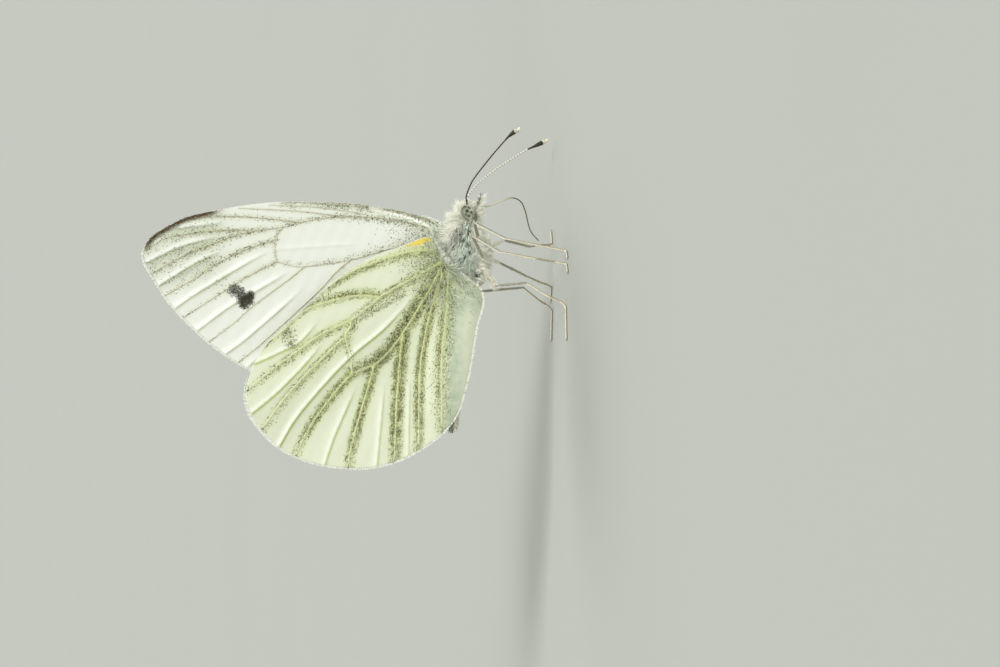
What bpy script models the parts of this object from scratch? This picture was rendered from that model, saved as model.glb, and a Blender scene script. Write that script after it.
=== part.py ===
"""Green-veined white butterfly at rest on its feet, wings closed over its back.

Metres, +Z up, +X towards the head and +Y to the butterfly's left. The floor is z = 0.
Lengths in the constants are millimetres. The tables are in the body's own frame, whose
x = 0 lies just behind the thorax; centre_on_floor then moves the whole to the middle of
its own bounding box.
"""
import bmesh
import bpy
from math import exp, pi
from mathutils import Vector

MM = 0.001
GAP = 0.3                     # clearance between neighbouring solids
EYE_GAP = 0.2                 # an eye sits closer in its socket
JOIN = 0.0001                 # doubles nearer than this, in millimetres, are one point

# Wings: each is a bent plate cut to its outline
WING_THICKNESS = 0.5
WING_PITCH = 0.8              # from the middle of a forewing to the middle of a hindwing
FORE_WING_Y = 0.4             # middle of a forewing's plate, out from the body's mid plane
HINGE = (3.6, 8.5)            # x, z of the wing roots
ROOT_FLARE = 0.45             # the plates spread this much at the hinge to clear the thorax
ROOT_FLARE_REACH = 4.0
BELLY_BOW_REACH = 1.9         # height over which a hindwing curves in from the abdomen
CLOSING = 0.65                # the hindwings close in by this much behind the forewings
CLOSING_START = 0.8           # beginning this far behind the forewing's inner edge
CLOSING_REACH = 5.5
WING_CELL = 1.25              # spacing of the plate's grid
OUTLINE_REACH = 4             # half the depth of the prism that cuts a wing out

# Outlines in x, z from the root round by the costa; "corner" points are sharp
FORE_WING = {
    "costa_root": (5.66, 8.85, "corner"),
    "costa_shoulder": (6.5, 11.75, "smooth"),
    "costa_middle": (7.15, 17.9, "smooth"),
    "costa_outer": (6.55, 25.0, "smooth"),
    "apex_front": (5.4, 28.6, "smooth"),
    "apex": (3.55, 30.5, "smooth"),
    "apex_rear": (1.15, 29.6, "smooth"),
    "termen_middle": (-1.85, 27.25, "smooth"),
    "termen_lower": (-4.1, 24.6, "smooth"),
    "tornus": (-5.65, 22.15, "corner"),
    "inner_middle": (-0.9, 15.2, "smooth"),
    "inner_root": (3.75, 8.8, "corner"),
}
HIND_WING = {
    "costa_root": (4.45, 9.4, "corner"),
    "costa_shoulder": (4.1, 11.1, "smooth"),
    "costa_middle": (2.25, 15.4, "smooth"),
    "costa_outer": (-1.05, 19.3, "smooth"),
    "apex_front": (-3.55, 21.85, "smooth"),
    "apex": (-5.25, 22.75, "smooth"),
    "apex_rear": (-7.5, 23.05, "smooth"),
    "termen_upper": (-9.7, 21.9, "smooth"),
    "termen_middle": (-11.5, 19.6, "smooth"),
    "termen_lower": (-12.4, 15.9, "smooth"),
    "tornus_upper": (-12.3, 13.3, "smooth"),
    "tornus": (-11.1, 10.3, "smooth"),
    "anal_angle": (-9.0, 7.9, "smooth"),
    "inner_outer": (-6.6, 7.0, "smooth"),
    "inner_middle": (-2.3, 6.2, "smooth"),
    "inner_root": (0.55, 5.8, "smooth"),
    "waist": (1.7, 7.3, "smooth"),
    "rear_root": (2.8, 8.6, "corner"),
}

# Trunk: one smooth spindle of stations x, z, radius, parted into its named lengths
TRUNK = [
    (-9.65, 8.1, 0.30), (-9.2, 8.1, 0.55), (-8.0, 7.95, 0.85), (-5.6, 7.65, 1.05),
    (-2.3, 7.35, 1.10), (0.2, 7.05, 1.00), (1.2, 6.85, 0.90), (1.9, 6.6, 1.30),
    (2.9, 6.65, 1.50), (4.0, 6.85, 1.50), (4.9, 7.1, 1.38), (5.5, 7.1, 1.12),
    (6.0, 6.95, 1.00), (6.5, 6.75, 0.98), (7.0, 6.65, 0.74), (7.22, 6.6, 0.45),
]
TRUNK_WIDTH = 0.95            # its width over its height
TRUNK_CUTS = {                # each length lies between two flat cuts across the body
    "abdomen_tip": (-20.0, -8.25),
    "abdomen": (-7.95, 1.05),
    "thorax": (1.35, 4.65),
    "neck": (4.95, 5.35),
    "head": (5.65, 20.0),
}

EYE_CENTRE = (6.2, 0.76, 6.83)
EYE_RADII = (0.72, 0.56, 0.70)
EYE_BACK = 0.5                # the eye's flat inner face, out from the mid plane
TEGULA_CENTRE = (5.1, 1.6, 7.75)
TEGULA_RADII = (0.75, 0.28, 0.45)

# Feelers and mouth parts: stations x, y, z, radius, with y given for the left one
PALP = [(6.65, 0.43, 5.95, 0.25), (7.2, 0.43, 5.8, 0.28), (7.7, 0.43, 5.78, 0.2)]
ANTENNAE = {
    "right": [
        (7.52, 0.55, 6.92, 0.25), (8.14, 0.98, 6.73, 0.25), (8.8, 1.48, 6.4, 0.25),
        (10.18, 2.6, 5.41, 0.25), (11.42, 3.62, 4.42, 0.25), (11.9, 4.05, 3.95, 0.28),
        (12.2, 4.35, 3.6, 0.31), (12.35, 4.5, 3.42, 0.22),
    ],
    "left": [
        (7.56, 0.45, 6.68, 0.25), (8.25, 0.82, 6.1, 0.25), (8.87, 1.18, 5.38, 0.25),
        (9.96, 1.98, 3.83, 0.25), (10.88, 2.73, 2.28, 0.25), (11.2, 3.05, 1.5, 0.28),
        (11.45, 3.3, 0.95, 0.3), (11.63, 3.42, 0.62, 0.22),
    ],
}
PROBOSCIS = {
    "proboscis_base": [(6.72, 5.4, 0.25), (6.9, 4.8, 0.25), (7.2, 4.1, 0.25), (7.36, 3.5, 0.25)],
    "proboscis_tip": [(7.1, 2.9, 0.25), (6.45, 2.57, 0.25), (5.0, 2.18, 0.25), (4.2, 1.5, 0.25)],
}

# Legs: hip, knee, ankle, heel and toe. The last two lie on the floor.
FEMUR_RADII = (0.32, 0.27)
TIBIA_RADII = (0.26, 0.25)
TARSUS_RADIUS = 0.25
LEGS = {
    "fore_right": [(4.6, -1.85, 6.22), (5.5, -2.6, 6.55), (4.34, -3.3, 4.38),
                   (3.4, -4.7, 0.3), (2.95, -5.4, 0.2)],
    "fore_left": [(3.74, 0.95, 4.95), (4.3, 2.1, 3.9), (3.85, 3.3, 1.85),
                  (4.1, 4.3, 0.25), (4.95, 4.95, 0.2)],
    "mid_right": [(2.93, -1.84, 5.89), (4.6, -2.85, 6.78), (3.36, -3.5, 4.77),
                  (2.45, -4.9, 0.3), (1.9, -5.55, 0.2)],
    "mid_left": [(2.75, 0.95, 4.8), (2.67, 2.3, 4.25), (1.72, 3.6, 2.15),
                 (0.85, 4.75, 0.25), (-0.1, 5.3, 0.2)],
    "hind_right": [(2.0, -1.7, 5.55), (0.9, -2.9, 5.11), (1.13, -3.5, 2.85),
                   (-0.65, -4.35, 0.25), (-2.9, -4.85, 0.2)],
    "hind_left": [(1.7, 0.9, 4.85), (0.5, 2.45, 6.0), (0.84, 3.6, 2.3),
                  (-0.9, 4.4, 0.25), (-3.0, 4.85, 0.2)],
}
LIMB_OVERRUN = 0.6            # a limb is made this much too long before its mitre is cut

SIDES = {"left": 1, "right": -1}
COLOURS = {                   # base colour, roughness
    "white_hair": ((0.72, 0.74, 0.70), 0.85),
    "grey_hair": ((0.45, 0.48, 0.44), 0.85),
    "wing_white": ((0.86, 0.89, 0.80), 0.75),
    "wing_yellow": ((0.78, 0.82, 0.58), 0.75),
    "black_shell": ((0.05, 0.05, 0.03), 0.45),
    "pale_shell": ((0.80, 0.78, 0.66), 0.55),
    "eye": ((0.22, 0.25, 0.17), 0.25),
}


def new_collection(name):
    collection = bpy.data.collections.new(name)
    bpy.context.scene.collection.children.link(collection)
    return collection


def new_material(name, colour_name):
    (red, green, blue), roughness = COLOURS[colour_name]
    material = bpy.data.materials.new(name)
    material.use_nodes = True
    shader = material.node_tree.nodes["Principled BSDF"]
    shader.inputs["Base Color"].default_value = (red, green, blue, 1)
    shader.inputs["Roughness"].default_value = roughness
    shader.inputs["Metallic"].default_value = 0
    material.diffuse_color = (red, green, blue, 1)
    return material


class Butterfly:
    """Holds the collections and the root that every solid hangs from."""

    def __init__(self):
        self.solids = new_collection("green_veined_white_butterfly")
        self.cutters = new_collection("cutters")
        self.root = bpy.data.objects.new("butterfly", None)
        self.solids.objects.link(self.root)

    def add(self, name, mesh, colour_name):
        mesh.shade_smooth()
        solid = bpy.data.objects.new(name, mesh)
        mesh.materials.clear()
        mesh.materials.append(new_material(name, colour_name))
        self.solids.objects.link(solid)
        solid.parent = self.root
        return solid

    def add_cutter(self, name, mesh):
        cutter = bpy.data.objects.new(name, mesh)
        cutter.hide_render = True
        cutter.display_type = "WIRE"
        self.cutters.objects.link(cutter)
        cutter.parent = self.root
        return cutter


def boolean(solid, cutter, operation="DIFFERENCE"):
    modifier = solid.modifiers.new(cutter.name, "BOOLEAN")
    modifier.solver = "EXACT"
    modifier.operation = operation
    modifier.object = cutter


def curve_to_mesh(curve):
    """The closed mesh of a bevelled or filled curve, its caps welded on."""
    shape = bpy.data.objects.new("shape", curve)
    bpy.context.scene.collection.objects.link(shape)
    depsgraph = bpy.context.evaluated_depsgraph_get()
    mesh = bpy.data.meshes.new_from_object(shape.evaluated_get(depsgraph))
    bpy.data.objects.remove(shape)
    bpy.data.curves.remove(curve)
    bm = bmesh.new()
    bm.from_mesh(mesh)
    bmesh.ops.remove_doubles(bm, verts=bm.verts, dist=JOIN * MM)
    bmesh.ops.recalc_face_normals(bm, faces=bm.faces)
    bm.to_mesh(mesh)
    bm.free()
    return mesh


def tube(stations, sides=8, steps=3, grow=0.0):
    """A smooth tube through stations x, y, z, radius, in millimetres."""
    curve = bpy.data.curves.new("tube", "CURVE")
    curve.dimensions = "3D"
    curve.bevel_depth = MM
    curve.bevel_resolution = (sides - 4) // 2
    curve.resolution_u = steps
    curve.use_fill_caps = True
    spline = curve.splines.new("BEZIER")
    spline.bezier_points.add(len(stations) - 1)
    for point, (x, y, z, radius) in zip(spline.bezier_points, stations):
        point.co = Vector((x, y, z)) * MM
        point.radius = radius + grow
        point.handle_left_type = point.handle_right_type = "AUTO"
    return curve_to_mesh(curve)


def ellipsoid(centre, radii, side=1, grow=0.0, segments=20, rings=12):
    """A sphere scaled to three radii; side -1 puts it on the butterfly's right."""
    bm = bmesh.new()
    bmesh.ops.create_uvsphere(bm, u_segments=segments, v_segments=rings, radius=1)
    bmesh.ops.scale(bm, vec=[(radius + grow) * MM for radius in radii], verts=bm.verts)
    x, y, z = centre
    bmesh.ops.translate(bm, vec=Vector((x, side * y, z)) * MM, verts=bm.verts)
    mesh = bpy.data.meshes.new("ellipsoid")
    bm.to_mesh(mesh)
    bm.free()
    return mesh


def trim(mesh, point, outward):
    """Cut a closed mesh with a plane, drop what lies outward of it and close the cut."""
    bm = bmesh.new()
    bm.from_mesh(mesh)
    everything = bm.verts[:] + bm.edges[:] + bm.faces[:]
    result = bmesh.ops.bisect_plane(
        bm, geom=everything, dist=JOIN * MM, plane_co=Vector(point) * MM,
        plane_no=outward, clear_outer=True)
    rim = [item for item in result["geom_cut"] if isinstance(item, bmesh.types.BMEdge)]
    bmesh.ops.holes_fill(bm, edges=rim, sides=0)
    bmesh.ops.recalc_face_normals(bm, faces=bm.faces)
    bm.to_mesh(mesh)
    bm.free()
    return mesh


def trunk_at(x):
    """Height of the trunk's middle line and its radius at x."""
    x = min(max(x, TRUNK[0][0]), TRUNK[-1][0])
    for (x0, z0, radius0), (x1, z1, radius1) in zip(TRUNK, TRUNK[1:]):
        if x <= x1:
            share = (x - x0) / (x1 - x0)
            return z0 + share * (z1 - z0), radius0 + share * (radius1 - radius0)


def ease(value):
    """0 below 0, 1 above 1, and a smooth step between."""
    value = min(max(value, 0.0), 1.0)
    return value * value * (3 - 2 * value)


def behind_fore_wing(x, z):
    """How far x, z lies behind the straight inner edge of the forewing."""
    root, tornus = [Vector(FORE_WING[name][:2]) for name in ("inner_root", "tornus")]
    along = (tornus - root).normalized()
    return (Vector((x, z)) - root).dot(Vector((-along.y, along.x)))


def fore_wing_surface(x, z):
    """How far out from the mid plane a forewing's plate lies at x, z."""
    from_hinge = (Vector((x, z)) - Vector(HINGE)).length
    return FORE_WING_Y + ROOT_FLARE * exp(-((from_hinge / ROOT_FLARE_REACH) ** 2))


def hind_wing_surface(x, z):
    """Outside the forewing, closing in behind it, and bowed out round the abdomen."""
    closed = CLOSING * ease((behind_fore_wing(x, z) - CLOSING_START) / CLOSING_REACH)
    plain = fore_wing_surface(x, z) + WING_PITCH - closed
    middle, radius = trunk_at(min(x, TRUNK_CUTS["abdomen"][1]))
    round_belly = radius * TRUNK_WIDTH + GAP + WING_THICKNESS / 2
    bow = max(round_belly - plain, 0) * exp(-(((z - middle) / BELLY_BOW_REACH) ** 2))
    return plain + bow


def wing_outline(landmarks):
    """A prism across the body with a wing's outline, to cut its plates from."""
    curve = bpy.data.curves.new("outline", "CURVE")
    curve.dimensions = "2D"
    curve.fill_mode = "BOTH"
    curve.extrude = OUTLINE_REACH * MM
    curve.resolution_u = 5
    spline = curve.splines.new("BEZIER")
    spline.bezier_points.add(len(landmarks) - 1)
    spline.use_cyclic_u = True
    for point, (x, z, kind) in zip(spline.bezier_points, landmarks.values()):
        point.co = Vector((x, z, 0)) * MM
        handle = "VECTOR" if kind == "corner" else "AUTO"
        point.handle_left_type = point.handle_right_type = handle
    return curve_to_mesh(curve)


def wing_blank(landmarks, surface, side):
    """A grid that covers the outline, bent to the wing's surface on one side."""
    margin = WING_CELL
    low_x = min(x for x, _, _ in landmarks.values()) - margin
    high_x = max(x for x, _, _ in landmarks.values()) + margin
    low_z = min(z for _, z, _ in landmarks.values()) - margin
    high_z = max(z for _, z, _ in landmarks.values()) + margin
    bm = bmesh.new()
    bmesh.ops.create_grid(
        bm, x_segments=round((high_x - low_x) / WING_CELL),
        y_segments=round((high_z - low_z) / WING_CELL), size=0.5)
    for vertex in bm.verts:
        x = low_x + (vertex.co.x + 0.5) * (high_x - low_x)
        z = low_z + (vertex.co.y + 0.5) * (high_z - low_z)
        vertex.co = Vector((x, side * surface(x, z), z)) * MM
    mesh = bpy.data.meshes.new("blank")
    bm.to_mesh(mesh)
    bm.free()
    return mesh


def add_wings(butterfly):
    kinds = {
        "forewing": (FORE_WING, fore_wing_surface, "wing_white"),
        "hindwing": (HIND_WING, hind_wing_surface, "wing_yellow"),
    }
    for kind, (landmarks, surface, colour) in kinds.items():
        outline = butterfly.add_cutter(kind + "_outline", wing_outline(landmarks))
        outline.rotation_euler = (pi / 2, 0, 0)
        for side_name, side in SIDES.items():
            blank = wing_blank(landmarks, surface, side)
            wing = butterfly.add(f"{kind}_{side_name}", blank, colour)
            solidify = wing.modifiers.new("thickness", "SOLIDIFY")
            solidify.thickness = WING_THICKNESS * MM
            solidify.offset = 0
            boolean(wing, outline, "INTERSECT")


def add_trunk(butterfly):
    """The spindle of the body, parted into head, neck, thorax and abdomen."""
    stations = [(x, 0, z, radius) for x, z, radius in TRUNK]
    lengths = {}
    for name, (rear, front) in TRUNK_CUTS.items():
        mesh = tube(stations, sides=20)
        for vertex in mesh.vertices:
            vertex.co.y *= TRUNK_WIDTH
        if rear > TRUNK[0][0]:
            trim(mesh, (rear, 0, 0), (-1, 0, 0))
        if front < TRUNK[-1][0]:
            trim(mesh, (front, 0, 0), (1, 0, 0))
        colour = "grey_hair" if name.startswith("abdomen") else "white_hair"
        lengths[name] = butterfly.add(name, mesh, colour)
    return lengths


def add_eyes(butterfly, head):
    for side_name, side in SIDES.items():
        inward = (0, -side, 0)
        eye = ellipsoid(EYE_CENTRE, EYE_RADII, side)
        trim(eye, (0, side * EYE_BACK, 0), inward)
        butterfly.add("eye_" + side_name, eye, "eye")
        socket = ellipsoid(EYE_CENTRE, EYE_RADII, side, grow=EYE_GAP)
        trim(socket, (0, side * (EYE_BACK - EYE_GAP), 0), inward)
        boolean(head, butterfly.add_cutter("socket_" + side_name, socket))


def add_mouth_and_feelers(butterfly, head):
    for side_name, side in SIDES.items():
        palp = [(x, side * y, z, radius) for x, y, z, radius in PALP]
        butterfly.add("palp_" + side_name, tube(palp), "white_hair")
        room = butterfly.add_cutter("palp_room_" + side_name, tube(palp, grow=GAP))
        boolean(head, room)
        antenna = [(x, side * y, z, radius) for x, y, z, radius in ANTENNAE[side_name]]
        butterfly.add("antenna_" + side_name, tube(antenna), "black_shell")
        tegula = ellipsoid(TEGULA_CENTRE, TEGULA_RADII, side, segments=14, rings=8)
        butterfly.add("tegula_" + side_name, tegula, "white_hair")
    for name, stations in PROBOSCIS.items():
        path = [(x, 0, z, radius) for x, z, radius in stations]
        butterfly.add(name, tube(path), "black_shell")


def limb(points, radii, steps=1):
    """A tube through points whose radius goes evenly from the first to the last."""
    last = len(points) - 1
    stations = [
        (*point, radii[0] + (radii[1] - radii[0]) * count / last)
        for count, point in enumerate(points)
    ]
    return tube(stations, steps=steps)


def mitre(mesh, before, joint, after, radius, keep):
    """Cut a limb that runs past a joint on the plane that halves its bend, GAP / 2 short.

    keep is -1 for the limb that comes before the joint and 1 for the one after it. The
    sharp outer corner of the bend is then blunted.
    """
    coming = (joint - before).normalized()
    going = (after - joint).normalized()
    along = (coming + going).normalized()
    corner = (coming - going).normalized()
    trim(mesh, joint + along * keep * GAP / 2, -keep * along)
    trim(mesh, joint + corner * radius, corner)
    return mesh


def past(point, other):
    """A place LIMB_OVERRUN beyond other on the way from point."""
    return other + (other - point).normalized() * LIMB_OVERRUN


def add_leg(butterfly, name, points):
    hip, knee, ankle, heel, toe = [Vector(point) for point in points]
    femur = limb([hip, past(hip, knee)], FEMUR_RADII)
    mitre(femur, hip, knee, ankle, FEMUR_RADII[1], -1)
    tibia = limb([past(ankle, knee), past(knee, ankle)], TIBIA_RADII)
    mitre(tibia, hip, knee, ankle, TIBIA_RADII[0], 1)
    mitre(tibia, knee, ankle, heel, TIBIA_RADII[1], -1)
    tarsus = limb([past(heel, ankle), heel, toe], (TARSUS_RADIUS, TARSUS_RADIUS), steps=4)
    mitre(tarsus, knee, ankle, heel, TARSUS_RADIUS, 1)
    trim(tarsus, (0, 0, 0), (0, 0, -1))
    for part, mesh in (("femur", femur), ("tibia", tibia), ("tarsus", tarsus)):
        butterfly.add(f"leg_{name}_{part}", mesh, "pale_shell")


def centre_on_floor(butterfly):
    """Move the root so that the model's box is centred on the origin in x and y."""
    bpy.context.view_layer.update()
    depsgraph = bpy.context.evaluated_depsgraph_get()
    corners = []
    for solid in butterfly.solids.objects:
        if solid.type == "MESH":
            mesh = solid.evaluated_get(depsgraph).data
            corners += [solid.matrix_world @ vertex.co for vertex in mesh.vertices]
    for axis in (0, 1):
        values = [corner[axis] for corner in corners]
        butterfly.root.location[axis] = -(min(values) + max(values)) / 2
    bpy.context.view_layer.update()


def main():
    for old in list(bpy.data.objects):
        bpy.data.objects.remove(old)
    butterfly = Butterfly()
    lengths = add_trunk(butterfly)
    add_eyes(butterfly, lengths["head"])
    add_mouth_and_feelers(butterfly, lengths["head"])
    add_wings(butterfly)
    for name, points in LEGS.items():
        add_leg(butterfly, name, points)
    centre_on_floor(butterfly)


main()
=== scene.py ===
"""Green-veined white butterfly, a still life-size model: every surface, scale and hair.

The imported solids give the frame, in metres, +Z up, +X towards the head and +Y to the
butterfly's left. Lengths and tables below are millimetres in the body's own frame, whose
x = 0 lies just behind the thorax; in_frame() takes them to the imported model's frame.
"""
from math import cos, pi, radians, sin, sqrt
from typing import NamedTuple

import bmesh
import bpy
import numpy as np
from bpy.props import FloatProperty, FloatVectorProperty, IntProperty, PointerProperty
from mathutils import Matrix, Vector, noise
from mathutils.geometry import delaunay_2d_cdt


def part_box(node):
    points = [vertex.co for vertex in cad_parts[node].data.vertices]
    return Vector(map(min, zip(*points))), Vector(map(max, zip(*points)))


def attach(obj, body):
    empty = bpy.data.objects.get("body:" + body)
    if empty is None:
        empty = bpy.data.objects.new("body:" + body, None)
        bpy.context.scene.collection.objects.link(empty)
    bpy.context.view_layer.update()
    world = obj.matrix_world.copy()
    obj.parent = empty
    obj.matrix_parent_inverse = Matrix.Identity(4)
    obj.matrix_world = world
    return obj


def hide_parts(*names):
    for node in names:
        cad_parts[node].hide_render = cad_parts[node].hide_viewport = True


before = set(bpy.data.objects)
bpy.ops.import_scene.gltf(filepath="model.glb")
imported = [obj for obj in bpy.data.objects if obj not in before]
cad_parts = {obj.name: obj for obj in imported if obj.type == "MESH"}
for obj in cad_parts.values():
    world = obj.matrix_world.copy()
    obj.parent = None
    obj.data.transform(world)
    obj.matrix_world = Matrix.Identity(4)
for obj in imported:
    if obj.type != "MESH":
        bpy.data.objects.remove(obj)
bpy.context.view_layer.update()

bl_info = {
    "name": "Green-veined white butterfly",
    "version": (1, 0, 0),
    "blender": (4, 5, 0),
    "location": "3D View > Sidebar > Butterfly",
    "description": "Builds the skin, wings, scales and hairs of a life-size butterfly",
    "category": "Add Mesh",
}

MM = 0.001
BODY = "root"                 # a still model has one body
SIDES = {"right": -1, "left": 1}
THORAX_REAR = 1.35            # x of the thorax's rear face in the body's own frame
THORAX_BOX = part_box("thorax")
ORIGIN = Vector((
    THORAX_BOX[0].x - THORAX_REAR * MM, (THORAX_BOX[0].y + THORAX_BOX[1].y) / 2, 0,
))
SEED = 7
TUFT_PATCH = 0.003            # width of a tuft's patch on the skin's unwrap


# ---------------- settings

def length(name, description, default, low=0.0, high=0.05):
    """A length in metres that a user may change; its default is given in millimetres."""
    return FloatProperty(
        name=name, description=description, default=default * MM, min=low, max=high,
        precision=6, unit="LENGTH",
    )


def colour(name, description, default):
    """A colour, given as its red, green and blue from 0 to 255."""
    return FloatVectorProperty(
        name=name, description=description, default=[linear(part) for part in default],
        min=0, max=1, size=3, subtype="COLOR",
    )


def linear(part):
    """A display colour's part, 0 to 255, as linear light."""
    share = part / 255
    return share / 12.92 if share <= 0.04045 else ((share + 0.055) / 1.055) ** 2.4


def density(name, description, default):
    """How many tufts grow on a square millimetre."""
    return FloatProperty(name=name, description=description, default=default, min=0)


class WingSettings(bpy.types.PropertyGroup):
    """Sizes and colours of the four wings."""
    cell: length("Cell", "Spacing of the wing sheets' points", 0.11, 0.00005)
    thickness: length("Thickness", "Thickness of a wing's membrane", 0.07)
    vein_height: length("Vein height", "How far a vein stands out at the root", 0.05)
    vein_width: length("Vein width", "Half a vein's width at the root", 0.058)
    fold_height: length("Fold height", "Height of the pleats between the veins", 0.1)
    fringe: length("Fringe", "Length of the scales along a wing's edge", 0.15)
    white: colour("White", "Ground colour of the forewings", (226, 228, 220))
    cream: colour("Cream", "Ground colour beneath the hindwings", (219, 223, 199))
    # Along the veins this yellow-green is the wing's own colour; in the folds it is a painted shade
    # line on each fold's shaded side.
    warm: colour("Warm", "Yellow-green along the veins and in the folds", (180, 194, 96))
    # Painted shade: the colour laid in the hollows behind the folds, where shade falls.
    shadow: colour("Shadow", "Scales in the hollows of the folds", (190, 195, 177))
    ridge: colour("Ridge", "Crests of the hindwings' veins", (214, 212, 167))
    tan: colour("Tan", "Veins of the forewings", (175, 166, 138))
    dust: colour("Dust", "Dark scales along the veins", (52, 50, 30))
    olive: colour("Olive", "Ground beneath the dusted veins", (168, 174, 108))
    grey: colour("Grey", "Ground beneath the forewing's dusted veins", (192, 192, 175))
    # Also laid on the forewing's tip, where it is stronger behind the folds as painted shade.
    haze: colour("Haze", "Blue-grey scales near the roots", (175, 186, 162))
    edge: colour("Edge", "Brown border of the forewing's tip", (74, 52, 36))
    saffron: colour("Saffron", "Streak at the hindwing's root", (223, 201, 89))


class CoatSettings(bpy.types.PropertyGroup):
    """Numbers and sizes of the scales and hairs."""
    wing_scale: length("Wing scale", "Length of a dark wing scale", 0.088)
    wing_scale_width: length("Wing scale width", "Width of a dark wing scale", 0.054)
    wing_scales: density("Wing scales", "Dark scales on a square millimetre where densest", 360)
    root_hairs: density("Root hairs", "Hairs on a square millimetre of a wing's root", 110)
    root_hair: length("Root hair", "Length of the hairs at a wing's root", 1.0)
    root_hair_width: length("Root hair width", "Width of those hairs", 0.036)
    root_dark: colour("Dark root hair", "Darker hairs at the wings' roots", (116, 130, 100))
    root_light: colour("Light root hair", "Lighter hairs at the wings' roots", (234, 240, 216))
    fringe_spacing: length("Fringe spacing", "Distance between edge scales", 0.035, 1e-5)


class BodySettings(bpy.types.PropertyGroup):
    """Sizes and colours of the trunk and its hairs."""
    hair: length("Hair", "Length of the longest hairs", 0.85)
    hair_width: length("Hair width", "Width of a hair at its thickest", 0.038)
    scale_width: length("Scale width", "Width of a scale on the abdomen", 0.1)
    back: colour("Back", "Skin and scales along the abdomen's back", (88, 90, 80))
    flank: colour("Flank", "Skin of the thorax's sides", (112, 124, 112))
    belly: colour("Belly", "Underside of the abdomen", (214, 213, 196))
    mark: colour("Mark", "Dark tufts", (38, 40, 34))
    white_hair: colour("White hair", "Lightest hairs", (255, 255, 246))
    cream_hair: colour("Cream hair", "Darker of the white hairs", (244, 243, 226))
    grey_hair: colour("Grey hair", "Darker hairs of the flanks", (184, 200, 184))
    blue_hair: colour("Blue hair", "Lighter hairs of the flanks", (248, 252, 242))


class HeadSettings(bpy.types.PropertyGroup):
    """Sizes and colours of the eyes, antennae and tongue."""
    facet_depth: length("Facet depth", "How far a facet bulges", 0.006)
    facet_steps: IntProperty(
        name="Facet steps", description="How finely an eye is divided", default=5, min=2, max=6,
    )
    eye: colour("Eye", "Upper part of the eye", (146, 152, 128))
    eye_light: colour("Eye light", "Lightest part of the eye", (200, 205, 182))
    eye_below: colour("Eye below", "Lower rear part of the eye", (94, 91, 74))
    antenna_radius: length("Antenna radius", "Half the width of an antenna's shaft", 0.062)
    bead: length("Joint", "Length of an antenna's joint", 0.25)
    horn: colour("Horn", "Dark horn of the antennae", (26, 22, 15))
    horn_light: colour("Light horn", "Lighter grain of the antennae", (66, 58, 38))
    tongue_radius: length("Tongue radius", "Half the width of the tongue", 0.055)


class LegSettings(bpy.types.PropertyGroup):
    """Sizes and colours of the legs."""
    foot_radius: length("Foot radius", "Half the width of a foot's joints", 0.08)
    scale: length("Scale", "Length of a leg's scales", 0.16)
    scale_width: length("Scale width", "Width of a leg's scales", 0.034)
    scales: density("Scales", "Scales on a square millimetre of leg", 210)
    spines: density("Spines", "Spines on a square millimetre of leg", 35)
    cream: colour("Cream", "Shaded part of the leg's horn", (222, 218, 198))
    white: colour("White", "Light part of the leg's horn and its scales", (252, 250, 238))
    amber: colour("Amber", "Tint of the feet", (226, 200, 146))
    under: colour("Under", "Dark underside", (118, 115, 96))


class StageSettings(bpy.types.PropertyGroup):
    """Camera, lights and floor."""
    lens: FloatProperty(
        name="Lens", description="Focal length in millimetres", default=200, min=1)
    width_in_view: length("Width in view", "Width of the picture at the butterfly", 73.0, high=1)
    elevation: FloatProperty(
        name="Elevation", description="How far the camera looks down",
        default=radians(6), subtype="ANGLE")
    floor: colour("Floor", "Floor and background", (184, 186, 180))
    background: FloatProperty(
        name="Background", description="Strength of the background's light", default=1.17)
    floor_radius: FloatProperty(
        name="Floor radius", description="Radius of the floor", default=6.0, unit="LENGTH")


# ---------------- node trees

def arithmetic(operation, swapped=False):
    """A method that stands for one of Python's operators by adding a Math node."""
    def made(self, other):
        return self.math(operation, *((other, self) if swapped else (self, other)))
    return made


class Number:
    """A node's output; sums written on it in Python add Math nodes to its tree."""

    def __init__(self, graph, socket):
        self.graph, self.socket = graph, socket

    def math(self, operation, *operands):
        return self.graph.number(
            "ShaderNodeMath", {"operation": operation}, dict(enumerate(operands)))

    def within(self):
        """The number held between 0 and 1."""
        return self.math("MINIMUM", self.math("MAXIMUM", self, 0), 1)

    __add__ = __radd__ = arithmetic("ADD")
    __sub__, __rsub__ = arithmetic("SUBTRACT"), arithmetic("SUBTRACT", swapped=True)
    __mul__ = __rmul__ = arithmetic("MULTIPLY")
    __pow__, __lt__ = arithmetic("POWER"), arithmetic("LESS_THAN")


class Graph:
    """A node tree whose nodes all come from one method."""

    def __init__(self, tree):
        self.tree = tree

    def node(self, kind, settings=None, sockets=None):
        """Adds a node, sets its settings and then the values or links of its sockets."""
        made = self.tree.nodes.new(kind)
        for name, value in (settings or {}).items():
            setattr(made, name, value)
        for name, value in (sockets or {}).items():
            self.feed(made.inputs[name], value)
        return made

    def feed(self, socket, value):
        if isinstance(value, Number):
            value = value.socket
        if isinstance(value, bpy.types.NodeSocket):
            self.tree.links.new(value, socket)
        elif socket.type == "RGBA":
            socket.default_value = (*value[:3], 1)
        else:
            socket.default_value = value

    def number(self, kind, settings=None, sockets=None, output=0):
        made = self.node(kind, settings, sockets)
        return Number(self, made.outputs[output])


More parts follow.
